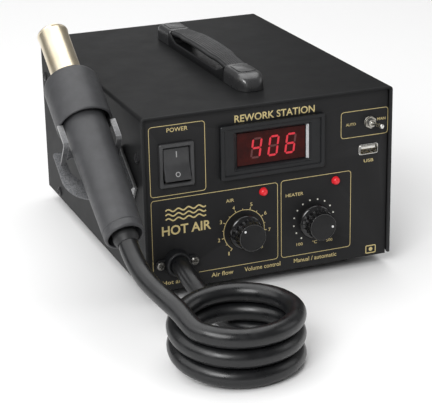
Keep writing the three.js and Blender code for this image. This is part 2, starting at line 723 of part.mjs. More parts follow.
function transformer() {
  const { x0, x1, y0, y1, height, limb, bulge } = TRANSFORMER;
  const z0 = TRAY_TOP + GAP;
  const z1 = z0 + height;
  const xm = middle(x0, x1);
  const windows = [
    block(x0 + limb, xm - limb, y0 - 1, y1 + 1, z0 + limb, z1 - limb),
    block(xm + limb, x1 - limb, y0 - 1, y1 + 1, z0 + limb, z1 - limb),
  ];
  const core = cut(block(x0, x1, y0, y1, z0, z1), ...windows);
  const winding = cut(
    block(x0 + limb + GAP, x1 - limb - GAP, y0 - bulge, y1 + bulge, z0 + limb + GAP, z1 - limb - GAP),
    block(xm - limb - GAP, xm + limb + GAP, y0 - GAP, y1 + GAP, z0, z1),
  );
  return [
    piece("transformer_core", core, finish(0x6d6f72, 0.6, 0.8)),
    piece("transformer_winding", winding, finish(0xc9a227, 0.5)),
  ];
}

function boardPostPlaces() {
  const { x0, x1, y0, y1, inset } = POWER_BOARD;
  return [y0 + inset, y1 - inset].flatMap((y) => [x0 + inset, x1 - inset].map((x) => [x, y]));
}

function circuitBoards() {
  const { x0, x1, y0, y1, z } = POWER_BOARD;
  const mainBoard = join(block(-42, 88, PCB_FRONT, PCB_FRONT + PCB_THICK, 22, 124), ...digitBlocks());
  const holes = boardPostPlaces().map(([x, y]) => barZ(1.6, z - 2, z + 4, x, y, 10));
  const powerBoard = cut(block(x0, x1, y0, y1, z, z + PCB_THICK), ...holes);
  const sinkX = x1 - 24;
  const sinkY = y0 + 28;
  const low = z + PCB_THICK + GAP;
  const high = low + 34;
  const fins = [0, 1, 2, 3, 4, 5].map((i) =>
    block(sinkX, sinkX + 14, sinkY + 2 + i * 7, sinkY + 3.6 + i * 7, low, high),
  );
  const backPlate = block(sinkX - 2, sinkX + 1, sinkY, sinkY + 42, low, high);
  const triac = block(sinkX - 6.8, sinkX - 1, sinkY + 14, sinkY + 24, low + 8, low + 23);
  return [
    piece("main_board", mainBoard, board()),
    piece("power_board", powerBoard, board()),
    piece("heat_sink", join(backPlate, triac, ...fins), finish(0xa9acae, 0.45, 0.9)),
  ];
}

function rearFittings() {
  const face = REAR_OUT + GAP;
  const inlet = join(
    panelPiece(roundedRect(INLET.width + 4.6, INLET.height + 4.6, 3, INLET.x, INLET.z), face, face + 2.4),
    panelPiece(roundedRect(INLET.width, INLET.height, 2.6, INLET.x, INLET.z), face - 16, face + 1),
  );
  const well = panelPiece(roundedRect(24.2, 16.6, 3, INLET.x, INLET.z), face - 13, face + 4);
  const pins = [-7, 0, 7].map((dx, i) => {
    const z = INLET.z + (i === 1 ? 2 : -2);
    return block(INLET.x + dx - 1, INLET.x + dx + 1, face - 14, face - 1, z - 2, z + 2);
  });
  const fuseHolder = join(
    barY(7.6, face, face + 4, FUSE.x, FUSE.z, 20),
    barY(6, face - 26, face + 1, FUSE.x, FUSE.z, 20),
    barY(5.4, face + 3, face + 8.7, FUSE.x, FUSE.z, 20),
  );
  return [
    piece("mains_inlet", join(cut(inlet, well), ...pins), blackPlastic()),
    piece("fuse_holder", fuseHolder, blackPlastic()),
  ];
}

// ---- Holder and handpiece ----
// Both are laid out about the handpiece's axis and turned with it.
function alongAxis() {
  const group = new THREE.Group();
  group.position.set(AXIS.x, AXIS.y, AXIS.z);
  group.rotation.x = THREE.MathUtils.degToRad(-AXIS_TILT);
  return group;
}

function holderScrewPlaces() {
  const tilt = THREE.MathUtils.degToRad(-AXIS_TILT);
  return HOLDER_SCREWS.map(([under, s]) => [
    AXIS.y + under * Math.cos(tilt) - s * Math.sin(tilt),
    AXIS.z + under * Math.sin(tilt) + s * Math.cos(tilt),
  ]);
}

function holder() {
  const { half, sheet, under, armIn, armOut, armTop } = HOLDER;
  const top = 87;
  const straight = 62;
  const low = 44;
  // The cradle plate, drawn as x and s. Its lower end is rounded and a large hole lies under the handle.
  const plate = new THREE.Shape();
  plate.moveTo(-half, straight);
  plate.quadraticCurveTo(-half + 3, low, 0, low);
  plate.lineTo(WALL_X, low + 6);
  plate.lineTo(WALL_X, top);
  plate.lineTo(-half, top);
  const hole = new THREE.Path();
  hole.moveTo(-15.8, 81);
  hole.lineTo(15.8, 81);
  hole.lineTo(15.8, 73);
  hole.absarc(0, 73, 15.8, 0, Math.PI, true);
  plate.holes.push(hole);
  const cradle = extrude(plate, sheet, { curveSegments: 10 })
    .rotateX(Math.PI / 2)
    .translate(0, under + sheet, 0);
  const parts = [cradle, block(WALL_X - sheet, WALL_X, under, under + 24, low + 6, top)];
  for (const side of [-1, 1]) {
    const [x0, x1] = side < 0 ? [-armOut, -armIn] : [armIn, armOut];
    parts.push(block(x0, x1, -armTop, under + 1, S.fork - sheet, S.fork));
    parts.push(block(x0, x1, -armTop, -armTop + sheet, S.fork - 1, S.guardLow - GAP));
    parts.push(block(x0 - 1, x1 + 1, under, under + sheet, S.fork - 2, S.fork + 2));
  }
  const holes = HOLDER_SCREWS.map(([y, s]) => barX(2.4, WALL_X - 4, WALL_X + 3, y, s, 12));
  const group = alongAxis();
  group.add(piece("holder", cut(join(...parts), ...holes), galvanised()));
  HOLDER_SCREWS.forEach(([y, s], i) => {
    const screw = sideScrew(-1, WALL_X - sheet, y, s, 3.8, 1.9, 9);
    group.add(piece("holder_screw_" + (i ? "upper" : "lower"), screw, plating()));
  });
  return group;
}

function handpiece() {
  const wall = 2.2;
  const shell = [
    [HANDLE_R.end - 1, 0],
    [HANDLE_R.end, 1],
    [HANDLE_R.guard, S.guardLow - 2],
    [HANDLE_R.guard, S.guardLow + 16],
    [HANDLE_R.guard - wall, S.guardLow + 16],
    [HANDLE_R.guard - wall, S.guardLow - 2],
    [HANDLE_R.end - wall, 8],
    [HANDLE_R.end - wall, 0],
  ];
  const skirt = GUARD_R - 1.6; // inside of the guard's thin lower rim
  const guard = [
    [skirt, S.guardLow],
    [GUARD_R - 0.8, S.guardLow],
    [GUARD_R, S.guardLow + 0.8],
    [GUARD_R, S.guardHigh - 5],
    [GUARD_R - 1.4, S.guardHigh - 1.6],
    [GUARD_R - 4.5, S.guardHigh],
    [NOZZLE_R + GAP, S.guardHigh],
    [NOZZLE_R + GAP, S.guardHigh - 3],
    [HANDLE_R.guard + GAP, S.guardHigh - 8],
    [HANDLE_R.guard + GAP, S.guardLow + 11],
    [skirt, S.guardLow + 9],
  ];
  const bore = NOZZLE_R - 0.9;
  const nozzle = [
    [NOZZLE_R, S.guardLow + 18],
    [NOZZLE_R, S.mouth - 1.4],
    [NOZZLE_R + 0.4, S.mouth - 1],
    [NOZZLE_R + 0.4, S.mouth - 0.3],
    [NOZZLE_R, S.mouth],
    [bore, S.mouth],
    [bore, S.guardLow + 18],
  ];
  const heater = [
    [0, S.guardLow + 22],
    [8.6, S.guardLow + 22],
    [8.6, S.mouth - 12],
    [2, S.mouth - 12],
    [2, S.mouth - 16],
    [0, S.mouth - 16],
  ];
  const boot = [
    [0, BOOT_END],
    [7.2, BOOT_END],
    [8.2, BOOT_END + 1.6],
    [8.4, 1],
    [8.4, 9],
    [HANDLE_R.end - wall - GAP, 9],
    [HANDLE_R.end - wall - GAP, 14],
    [0, 14],
  ];
  const group = alongAxis();
  group.add(
    piece("handle_shell", turnedUpright(shell, 32), finish(0x3a3b3d, 0.6)),
    piece("heat_guard", turnedUpright(guard, 32), finish(0x3a3b3d, 0.6)),
    piece("nozzle_tube", turnedUpright(nozzle, 28), nozzleSteel()),
    piece("heater_core", turnedUpright(heater, 20), finish(0xe6dfd0, 0.8)),
    piece("hose_boot", turnedUpright(boot, 24), rubber()),
  );
  return group;
}

// ---- Air hose ----
function hoseTube(points, radius, sides, steps) {
  const path = new THREE.CatmullRomCurve3(points.map(([x, y, z]) => new THREE.Vector3(x, y, z)));
  const section = new THREE.Shape();
  section.absarc(0, 0, radius, 0, 2 * Math.PI);
  return new THREE.ExtrudeGeometry(section, {
    steps,
    curveSegments: sides,
    bevelEnabled: false,
    extrudePath: path,
  });
}

function hose() {
  const height = COIL.turns * COIL.pitch;
  const inner = COIL.radius - HOSE_R;
  const outer = COIL.radius + HOSE_R;
  const round = 4;
  const ring = [
    [inner + round, 0.1],
    [outer - round, 0.1],
    [outer, round],
    [outer, height - round],
    [outer - round, height],
    [inner + round, height],
    [inner, height - round],
    [inner, round],
  ];
  const black = () => finish(0x2a2b2c, 0.4);
  const coil = turnedUpright(ring, 36).scale(COIL.stretch, 1, 1).translate(COIL.x, COIL.y, 0);
  return [
    piece("hose_from_gland", hoseTube(HOSE_FROM_GLAND, HOSE_R, 12, 8), black()),
    piece("hose_coil", coil, black()),
    piece("hose_to_handpiece", hoseTube(HOSE_TO_HANDPIECE, HOSE_R, 12, 8), black()),
  ];
}

// ---- Assembly ----
const station = new THREE.Group();
station.position.set(CASE_X, CASE_Y, 0);
station.add(
  frontPanel(),
  baseTray(),
  rearPanel(),
  cover(),
  ...feet(),
  ...coverScrews(),
  ...carryHandle(),
  ...powerSwitch(),
  ...display(),
  ...toggleSwitch(),
  ...usbSocket(),
  ...lamps(),
  ...dials(),
  ...hoseGland(),
  ...airPump(),
  ...transformer(),
  ...circuitBoards(),
  ...rearFittings(),
  holder(),
  handpiece(),
  ...hose(),
);

const part = new THREE.Group();
part.add(station);
export default part;
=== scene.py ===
"""A bench hot air station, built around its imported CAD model: a black sheet-metal case with a control
panel, a carry handle, a handpiece in a side holder and a coiled air hose. Solids are drawn in millimetres
about a local origin and placed in the part's frame, in metres."""

import json
from itertools import accumulate, pairwise
from math import atan2, copysign, cos, degrees, hypot, pi, radians, sin, tan

import bmesh
import bpy
from mathutils import Matrix, Vector


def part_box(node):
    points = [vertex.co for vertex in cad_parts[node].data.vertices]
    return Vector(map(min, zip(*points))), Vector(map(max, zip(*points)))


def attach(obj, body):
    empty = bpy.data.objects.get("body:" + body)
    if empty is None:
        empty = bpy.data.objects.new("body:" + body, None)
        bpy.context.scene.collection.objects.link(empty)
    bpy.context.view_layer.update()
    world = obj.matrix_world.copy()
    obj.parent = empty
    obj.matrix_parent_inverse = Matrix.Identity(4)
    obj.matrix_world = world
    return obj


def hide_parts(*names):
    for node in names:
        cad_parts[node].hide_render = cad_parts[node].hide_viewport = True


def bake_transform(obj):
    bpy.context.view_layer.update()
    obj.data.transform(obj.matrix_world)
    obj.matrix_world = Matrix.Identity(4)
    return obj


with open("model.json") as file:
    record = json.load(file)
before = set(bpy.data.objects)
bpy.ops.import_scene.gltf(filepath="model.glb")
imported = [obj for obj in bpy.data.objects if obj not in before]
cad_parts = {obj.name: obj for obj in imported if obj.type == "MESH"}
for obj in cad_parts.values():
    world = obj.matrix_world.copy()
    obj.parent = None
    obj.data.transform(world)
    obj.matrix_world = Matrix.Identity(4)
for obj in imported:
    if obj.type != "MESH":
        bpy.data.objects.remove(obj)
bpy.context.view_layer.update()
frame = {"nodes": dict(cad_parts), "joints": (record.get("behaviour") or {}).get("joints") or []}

MM = 0.001


def rotation(angle, axis):
    return Matrix.Rotation(radians(angle), 3, axis)


UPRIGHT = Matrix.Identity(3)
HALF_TURN = rotation(180, "Z")
TO_FRONT = rotation(90, "X")  # a solid's own +Z turned to face -Y
TO_REAR = rotation(-90, "X")
TO_LEFT = rotation(-90, "Y")
TO_RIGHT = rotation(90, "Y")


def centre(node):
    low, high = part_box(node)
    return (low + high) / 2


COVER_LOW, COVER_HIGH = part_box("cover")
CASE = Vector((centre("cover").x, centre("cover").y, 0))  # on the floor under the middle of the case
HALF_WIDTH = (COVER_HIGH.x - COVER_LOW.x) / 2 / MM
HALF_DEPTH = (COVER_HIGH.y - COVER_LOW.y) / 2 / MM
PANEL_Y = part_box("front_panel")[0].y
REAR_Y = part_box("rear_panel")[1].y


def at(x, y, z):
    """A point given in millimetres from the floor under the middle of the case."""
    return CASE + Vector((x, y, z)) * MM


def on_face(node, y=None):
    """The middle of a node in x and z, on the front panel's face or at another y."""
    middle = centre(node)
    return Vector((middle.x, PANEL_Y if y is None else y, middle.z))


def linked(name, data):
    """A new object in the scene."""
    made = bpy.data.objects.new(name, data)
    bpy.context.scene.collection.objects.link(made)
    return made


# ---- Camera ----
EYE = (-0.3738, -1.0148, 0.4309)
AZIMUTH, ELEVATION, ROLL = -21.31, 20.24, -1.17  # degrees
FOCAL_LENGTH, SENSOR_WIDTH = 127.1, 36


def camera():
    data = bpy.data.cameras.new("camera")
    data.lens = FOCAL_LENGTH
    data.sensor_width = SENSOR_WIDTH
    eye = linked("camera", data)
    aim = rotation(AZIMUTH, "Z") @ rotation(90 - ELEVATION, "X") @ rotation(ROLL, "Z")
    eye.matrix_world = Matrix.Translation(EYE) @ aim.to_4x4()
    bpy.context.scene.camera = eye


# ---- Materials ----
class Look:
    """A Principled material, with short calls for the patterns that the surfaces share."""

    made = {}

    def __init__(self, name, colour, roughness, metallic=0.0, **sockets):
        self.material = bpy.data.materials.new(name)
        self.material.use_nodes = True
        self.tree = self.material.node_tree
        self.shader = self.tree.nodes["Principled BSDF"]
        self.place = self.tree.nodes.new("ShaderNodeTexCoord").outputs["Object"]
        self.colour = colour
        self.set("Base Color", (*colour, 1))
        self.set("Roughness", roughness)
        self.set("Metallic", metallic)
        for socket, value in sockets.items():
            self.set(socket.replace("_", " "), value)
        Look.made[name] = self.material

    def set(self, socket, value):
        self.shader.inputs[socket].default_value = value

    def node(self, kind, inputs, **settings):
        made = self.tree.nodes.new(kind)
        for name, value in settings.items():
            setattr(made, name, value)
        for name, value in inputs.items():
            if isinstance(value, bpy.types.NodeSocket):
                self.tree.links.new(value, made.inputs[name])
            else:
                made.inputs[name].default_value = value
        return made

    def stretched(self, scales):
        return self.node("ShaderNodeMapping", {"Vector": self.place, "Scale": scales}).outputs["Vector"]

    def noise(self, size, detail=2.0, stretch=None):
        """Noise from 0 to 1 whose features are about size millimetres across."""
        place = self.stretched(stretch) if stretch else self.place
        inputs = {"Vector": place, "Scale": 1 / (size * MM), "Detail": detail, "Roughness": 0.55}
        return self.node("ShaderNodeTexNoise", inputs).outputs["Fac"]

    def cells(self, size):
        inputs = {"Vector": self.place, "Scale": 1 / (size * MM)}
        return self.node("ShaderNodeTexVoronoi", inputs).outputs["Distance"]

    def spread(self, value, low, high, start=0.3, end=0.7):
        inputs = {"Value": value, "From Min": start, "From Max": end, "To Min": low, "To Max": high}
        return self.node("ShaderNodeMapRange", inputs).outputs["Result"]

    def edges(self):
        return self.tree.nodes.new("ShaderNodeNewGeometry").outputs["Pointiness"]

    def earlier(self, socket):
        """What already feeds one of the shader's sockets, if anything does."""
        links = self.shader.inputs[socket].links
        return links[0].from_socket if links else None

    def feed(self, socket, value):
        self.tree.links.new(value, self.shader.inputs[socket])

    def tint(self, pattern, share, other, start=0.3, end=0.7):
        """Mixes up to a share of another colour in, by a pattern, on top of any earlier mix."""
        mix = self.node("ShaderNodeMix", {}, data_type="RGBA")
        ends = [s for s in mix.inputs if s.type == "RGBA"]
        self.tree.links.new(self.spread(pattern, 0.0, share, start, end), mix.inputs["Factor"])
        ends[0].default_value = (*self.colour, 1)
        ends[1].default_value = (*other, 1)
        if self.earlier("Base Color"):
            self.tree.links.new(self.earlier("Base Color"), ends[0])
        self.feed("Base Color", next(s for s in mix.outputs if s.type == "RGBA"))

    def rough(self, pattern, low, high):
        self.feed("Roughness", self.spread(pattern, low, high))

    def bump(self, height, depth):
        """Adds relief that is depth millimetres deep."""
        inputs = {"Height": height, "Distance": depth * MM, "Strength": 1.0}
        if self.earlier("Normal"):
            inputs["Normal"] = self.earlier("Normal")
        self.feed("Normal", self.node("ShaderNodeBump", inputs).outputs["Normal"])


def shade(colour, factor, lift=0.0):
    return tuple(min(1, v * factor + lift) for v in colour)


def powder_coat(name, colour, roughness, specular):
    """Baked paint: a fine orange peel, faint cloudiness, and lighter edges, partly edge wear and partly a
    painted highlight.
    """
    look = Look(name, colour, roughness, Specular_IOR_Level=specular)
    look.tint(look.noise(38, 3), 0.5, shade(colour, 1.45))
    # Lighter colour on sharp edges: partly edge wear, partly a painted highlight along edges that catch the
    # light.
    look.tint(look.edges(), 1.0, shade(colour, 2.2, 0.012), 0.52, 0.6)
    look.rough(look.noise(16, 3), roughness - 0.02, roughness + 0.03)
    look.bump(look.noise(1.1, 2), 0.022)
    look.bump(look.noise(0.35, 1), 0.008)


def moulded(name, colour, roughness, grain=0.02, specular=0.4):
    """Moulded plastic with a spark-eroded texture."""
    look = Look(name, colour, roughness, Specular_IOR_Level=specular)
    look.tint(look.noise(9, 3), 0.6, shade(colour, 1.5, 0.001))
    look.rough(look.noise(3, 3), roughness - 0.05, roughness + 0.07)
    look.bump(look.noise(0.5, 3), grain)


def elastomer(name, colour, roughness, dust=0.35, specular=0.35):
    """Rubber or silicone with a breath of dust on it."""
    look = Look(name, colour, roughness, Specular_IOR_Level=specular)
    look.tint(look.noise(14, 5), dust, shade(colour, 2.6, 0.008))
    look.rough(look.noise(7, 4), roughness - 0.06, roughness + 0.1)
    look.bump(look.noise(0.8, 3), 0.018)


def plated(name, colour, roughness):
    """Bright metal with a fine grain and a few dull patches."""
    look = Look(name, colour, roughness, 1.0)
    look.tint(look.noise(6, 4), 0.5, shade(colour, 0.72))
    look.rough(look.noise(1.5, 4), roughness - 0.05, roughness + 0.14)
    look.bump(look.noise(0.3, 2), 0.004)


def galvanised():
    """Zinc-coated sheet: a spangle, a fine speckle, rolling marks, and light cut edges, partly bare steel and
    partly a painted highlight.
    """
    look = Look("galvanised", (0.15, 0.153, 0.16), 0.5, 0.8)
    look.tint(look.cells(3.5), 0.5, (0.23, 0.233, 0.24), 0.1, 0.8)
    look.tint(look.noise(0.9, 5), 0.6, (0.06, 0.06, 0.063), 0.45, 0.6)
    look.tint(look.noise(4, 6, (1, 9, 1)), 0.5, (0.07, 0.07, 0.073), 0.5, 0.75)
    # Light grey on sharp edges: the bare cut steel, with a painted highlight where the edges catch the light.
    look.tint(look.edges(), 1.0, (0.5, 0.5, 0.5), 0.54, 0.66)
    look.rough(look.noise(1.2, 4, (1, 12, 1)), 0.45, 0.65)
    look.bump(look.noise(0.5, 3, (1, 10, 1)), 0.01)


def heat_tinted():
    """Satin stainless steel, straw coloured by heat: warmer in bands along the tube."""
    look = Look("heat_tinted_steel", (0.83, 0.76, 0.6), 0.3, 1.0)
    look.tint(look.noise(22, 2, (0.4, 1, 1)), 0.5, (0.62, 0.47, 0.27))
    look.tint(look.noise(5, 5), 0.25, (0.45, 0.38, 0.3), 0.5, 0.8)
    look.rough(look.noise(0.8, 3, (9, 1, 1)), 0.25, 0.4)
    look.bump(look.noise(0.3, 2, (10, 1, 1)), 0.003)


def printed(name, colour):
    """Screen-printed ink, slightly uneven."""
    look = Look(name, colour, 0.45, 0.2)
    look.tint(look.noise(1.6, 4), 0.6, shade(colour, 0.72))
    look.bump(look.noise(0.3, 2), 0.006)


def glowing(name, colour, strength, dark):
    look = Look(name, dark, 0.25, Emission_Color=(*colour, 1), Emission_Strength=strength)
    look.tint(look.noise(2, 3), 0.5, shade(dark, 0.6))
    look.bump(look.noise(0.6, 2), 0.004)


def filter_pane():
    """The display's dark red filter, glossy, with fine wipe marks."""
    look = Look("red_filter", (0.026, 0.0035, 0.003), 0.12, Specular_IOR_Level=0.1)
    look.tint(look.noise(7, 3), 0.7, (0.06, 0.006, 0.004))
    look.rough(look.noise(1.2, 5, (1, 1, 6)), 0.07, 0.2)
    look.bump(look.noise(2.5, 2), 0.002)


def patterned(name, colour, other, roughness, size, metallic=0.0, stretch=None):
    """A two-tone surface for the pieces inside the case."""
    look = Look(name, colour, roughness, metallic)
    look.tint(look.noise(size, 4, stretch), 1.0, other, 0.4, 0.6)
    look.rough(look.noise(size / 2, 3), roughness - 0.06, roughness + 0.08)
    look.bump(look.noise(size / 4, 3, stretch), 0.02)


def materials():
    powder_coat("case_coat", (0.0105, 0.0107, 0.0111), 0.46, 0.05)
    powder_coat("panel_coat", (0.0125, 0.0125, 0.013), 0.5, 0.16)
    moulded("switch_plastic", (0.03, 0.0303, 0.0315), 0.36, 0.012, 0.5)
    moulded("bezel_plastic", (0.007, 0.0075, 0.0085), 0.36, 0.014, 0.3)
    moulded("knob_plastic", (0.006, 0.006, 0.0065), 0.16, 0.006, 0.7)
    moulded("dial_face", (0.012, 0.012, 0.0125), 0.55, 0.012, 0.25)
    moulded("handle_plastic", (0.02, 0.0202, 0.021), 0.3, 0.012, 0.9)
    # The caps' plastic made darker for the rail: painted shade on the rail's sides.
    moulded("rail_plastic_painted_shade", (0.007, 0.0072, 0.0078), 0.4, 0.016, 0.35)
    moulded("handpiece_plastic", (0.036, 0.0365, 0.039), 0.46, 0.03, 0.5)
    moulded("white_plastic", (0.62, 0.61, 0.57), 0.4)
    moulded("white_mark", (0.72, 0.72, 0.7), 0.5)
    moulded("grey_mark", (0.3, 0.3, 0.3), 0.5)
    # Light grey plastic for one strip in the display's recess: a painted highlight.
    moulded("painted_window_highlight", (0.42, 0.42, 0.43), 0.25, 0.006, 0.6)
    moulded("black_screw", (0.012, 0.012, 0.013), 0.3, 0.006, 0.6)
    elastomer("strap_vinyl", (0.012, 0.0122, 0.013), 0.42, 0.3, 0.5)
    elastomer("foot_rubber", (0.012, 0.012, 0.012), 0.7)
    elastomer("boot_rubber", (0.016, 0.0165, 0.017), 0.5)
    elastomer("hose_silicone", (0.005, 0.0053, 0.006), 0.3, 0.16, 0.5)
    elastomer("tube_silicone", (0.5, 0.48, 0.4), 0.4)
    plated("nickel", (0.72, 0.71, 0.68), 0.2)
    plated("worn_nickel", (0.5, 0.48, 0.43), 0.3)
    plated("dark_zinc", (0.2, 0.195, 0.18), 0.28)
    plated("gold_contact", (0.8, 0.58, 0.22), 0.25)
    plated("plated_can", (0.5, 0.51, 0.52), 0.35)
    galvanised()
    heat_tinted()
    printed("gold_print", (0.66, 0.54, 0.25))
    printed("pale_print", (0.7, 0.69, 0.62))
    filter_pane()
    glowing("lit_segment", (1.0, 0.015, 0.045), 0.5, (0.22, 0.006, 0.01))
    # The unlit bars glow faintly too: a painted glow in place of the light they would reflect.
    glowing("unlit_segment", (1.0, 0.05, 0.05), 0.035, (0.06, 0.008, 0.007))
    glowing("lamp_red", (1.0, 0.03, 0.045), 0.3, (0.5, 0.015, 0.02))
    patterned("ceramic", (0.72, 0.68, 0.6), (0.6, 0.54, 0.45), 0.8, 2)
    patterned("heater_wire", (0.3, 0.26, 0.22), (0.42, 0.3, 0.2), 0.45, 1, 0.8)
    patterned("cast_metal", (0.42, 0.43, 0.44), (0.3, 0.31, 0.32), 0.5, 3, 0.9)
    patterned("laminations", (0.16, 0.16, 0.17), (0.08, 0.08, 0.09), 0.5, 2, 0.8, (1, 20, 1))
    patterned("winding_tape", (0.6, 0.42, 0.06), (0.5, 0.33, 0.04), 0.45, 4, 0.0, (1, 6, 1))
    patterned("solder_resist", (0.02, 0.13, 0.055), (0.03, 0.2, 0.08), 0.35, 2.5)
    patterned("extruded_aluminium", (0.6, 0.61, 0.62), (0.5, 0.51, 0.52), 0.35, 2, 1.0, (1, 1, 9))


# ---- Solids: (points, faces) in millimetres ----
def skin(rings, wrap=False):
    """Faces between closed rings of points. A ring of one point is a tip, and the open ends are closed."""
    points, faces, first = [], [], []
    for ring in rings:
        first.append(len(points))
        points.extend(Vector(p) for p in ring)
    steps = list(pairwise(range(len(rings)))) + ([(len(rings) - 1, 0)] if wrap else [])
    for a, b in steps:
        count = max(len(rings[a]), len(rings[b]))
        for i in range(count):
            j = (i + 1) % count
            if len(rings[a]) == 1:
                faces.append((first[a], first[b] + i, first[b] + j))
            elif len(rings[b]) == 1:
                faces.append((first[a] + i, first[b], first[a] + j))
            else:
                faces.append((first[a] + i, first[b] + i, first[b] + j, first[a] + j))
    for k in () if wrap else (0, len(rings) - 1):
        if len(rings[k]) > 2:
            faces.append(tuple(range(first[k], first[k] + len(rings[k]))))
    return points, faces


def placed(solid, where, turn=UPRIGHT):
    points, faces = solid
    return [where + turn @ (p * MM) for p in points], faces


def shifted(solid, offset, turn=UPRIGHT):
    points, faces = solid
    return [turn @ p + Vector(offset) for p in points], faces


def together(*solids):
    points, faces = [], []
    for some_points, some_faces in solids:
        start = len(points)
        points.extend(some_points)
        faces.extend(tuple(i + start for i in face) for face in some_faces)
    return points, faces


def soften(outline, radius, closed=False, steps=4):
    """The same outline with its corners rounded off."""
    made = []
    points = [Vector(p) for p in outline]
    for i, corner in enumerate(points):
        before, after = points[i - 1] - corner, points[(i + 1) % len(points)] - corner
        end = not closed and i in (0, len(points) - 1)
        if end or min(before.length, after.length) < 1e-6 or before.angle(after) > radians(168):
            made.append(corner)
            continue
        reach = min(radius, before.length * 0.48, after.length * 0.48)
        a, b = corner + before.normalized() * reach, corner + after.normalized() * reach
        for k in range(steps + 1):
            t = k / steps
            made.append(a * (1 - t) ** 2 + corner * 2 * t * (1 - t) + b * t**2)
    return made


def circle(radius, sides, height=0.0):
    angles = [2 * pi * i / sides for i in range(sides)]
    return [Vector((radius * cos(a), radius * sin(a), height)) for a in angles]


def turned(profile, sides=48, closed=False, soft=0.0):
    """A profile of (radius, height) turned about +Z."""
    points = soften(profile, soft, closed) if soft else [Vector(p) for p in profile]
    rings = [circle(p.x, sides, p.y) if p.x > 1e-6 else [(0, 0, p.y)] for p in points]
    return skin(rings, wrap=closed)


def arc(middle, radius, start, end, steps):
    angles = [radians(start + (end - start) * k / steps) for k in range(steps + 1)]
    return [Vector((middle[0] + radius * cos(a), middle[1] + radius * sin(a))) for a in angles]


def rounded_rect(half_width, half_height, radius, steps=5):
    corners = [(1, 1, 0), (-1, 1, 90), (-1, -1, 180), (1, -1, 270)]
    w, h = half_width - radius, half_height - radius
    return [p for sx, sz, start in corners for p in arc((sx * w, sz * h), radius, start, start + 90, steps)]


def flat(outline, height):
    """An outline of (x, y) as a ring at one height."""
    return [(p.x, p.y, height) for p in outline]


def in_panel(outline, depth):
    """An outline of (x, z) as a ring at one depth: negative stands in front of the panel."""
    return [(p.x, depth, p.y) for p in outline]


def drawn_out(section, low, high):
    """A section of (x, y) drawn out in z."""
    return skin([[(x, y, z) for x, y in section] for z in (low, high)])


def rect_stack(levels, wrap=True):
    """Rounded rectangles skinned one to the next: half width, half height, corner radius and their depths."""
    rings = [in_panel(rounded_rect(w, h, r), depth) for w, h, r, *depths in levels for depth in depths]
    return skin(rings, wrap)


def box(low, high, soft=0.2):
    """A block with rounded vertical corners and chamfered ends, tall in z."""
    w, h = (high[0] - low[0]) / 2, (high[1] - low[1]) / 2
    x, y = (high[0] + low[0]) / 2, (high[1] + low[1]) / 2
    levels = [(low[2], soft), (low[2] + soft, 0), (high[2] - soft, 0), (high[2], soft)]
    rings = []
    for z, inset in levels:
        outline = rounded_rect(w - inset, h - inset, min(soft * 1.5, w * 0.4, h * 0.4), 2)
        rings.append([(x + p.x, y + p.y, z) for p in outline])
    return skin(rings)


def ribbon(points, width, thick=0.07, closed=False):
    """A printed line that follows points (x, z) on the panel's face."""
    rings = []
    points = [Vector(p) for p in points]
    for i, p in enumerate(points):
        before = points[i - 1] if (i or closed) else p
        after = points[(i + 1) % len(points)] if (i < len(points) - 1 or closed) else p
        along = (after - before).normalized()
        side = Vector((-along.y, along.x)) * width / 2
        rings.append(in_panel([p + side, p - side], -thick) + in_panel([p - side, p + side], 0))
    return skin(rings, wrap=closed)


def disc(x, z, radius, thick=0.07, sides=20):
    return skin([[(x + p.x, y, z + p.y) for p in circle(radius, sides)] for y in (0, -thick)])


def from_curve(data, name):
    """The mesh of a curve or text, as a solid in the curve's own units."""
    maker = linked(name, data)
    bpy.context.view_layer.update()
    mesh = bpy.data.meshes.new_from_object(maker.evaluated_get(bpy.context.evaluated_depsgraph_get()))
    points = [v.co.copy() for v in mesh.vertices]
    faces = [tuple(p.vertices) for p in mesh.polygons]
    bpy.data.objects.remove(maker)
    bpy.data.curves.remove(data)
    bpy.data.meshes.remove(mesh)
    return points, faces


def lettering(text, x, z, height, width, thick=0.07, bold=0.0):
    """Plain capitals and figures, fitted to a height and width, about (x, z) on the panel's face."""
    data = bpy.data.curves.new("text", "FONT")
    data.body = text
    data.size = 10
    data.extrude = 1
    data.resolution_u = 3
    data.offset = bold
    points, faces = from_curve(data, "text")
    low = [min(p[i] for p in points) for i in (0, 1)]
    high = [max(p[i] for p in points) for i in (0, 1)]
    sx, sz = width / (high[0] - low[0]), height / (high[1] - low[1])
    left, foot = x - width / 2 - low[0] * sx, z - height / 2 - low[1] * sz
    return [Vector((left + p.x * sx, -thick if p.z > 0 else 0, foot + p.y * sz)) for p in points], faces


def sheet_cut(outline, holes, thick, edge=0.15):
    """A flat sheet with holes, drawn in x and y, with its edges rounded."""
    data = bpy.data.curves.new("sheet", "CURVE")
    data.dimensions = "2D"
    data.fill_mode = "BOTH"
    data.extrude = thick / 2 - edge
    data.bevel_depth = edge
    data.bevel_resolution = 2
    data.offset = -edge
    for loop in [outline, *holes]:
        spline = data.splines.new("POLY")
        spline.points.add(len(loop) - 1)
        for point, place in zip(spline.points, loop):
            point.co = (place[0], place[1], 0, 1)
        spline.use_cyclic_u = True
    return from_curve(data, "sheet")


def piece(name, solid, look, slot, *replaced, body="root", sharp=32):
    """A finished object: its faces turned outwards, smooth except at its edges, riding on a CAD body."""
    points, faces = solid
    mesh = bpy.data.meshes.new(name)
    mesh.from_pydata([tuple(p) for p in points], [], faces)
    work = bmesh.new()
    work.from_mesh(mesh)
    bmesh.ops.remove_doubles(work, verts=work.verts, dist=1e-7)
    bmesh.ops.recalc_face_normals(work, faces=work.faces)
    work.to_mesh(mesh)
    work.free()
    mesh.polygons.foreach_set("use_smooth", [True] * len(mesh.polygons))
    mesh.set_sharp_from_angle(angle=radians(sharp))
    made = linked(name, mesh)
    mesh.materials.append(Look.made[look])
    if body:
        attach(made, body)
    if replaced:
        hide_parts(*replaced)
    return made


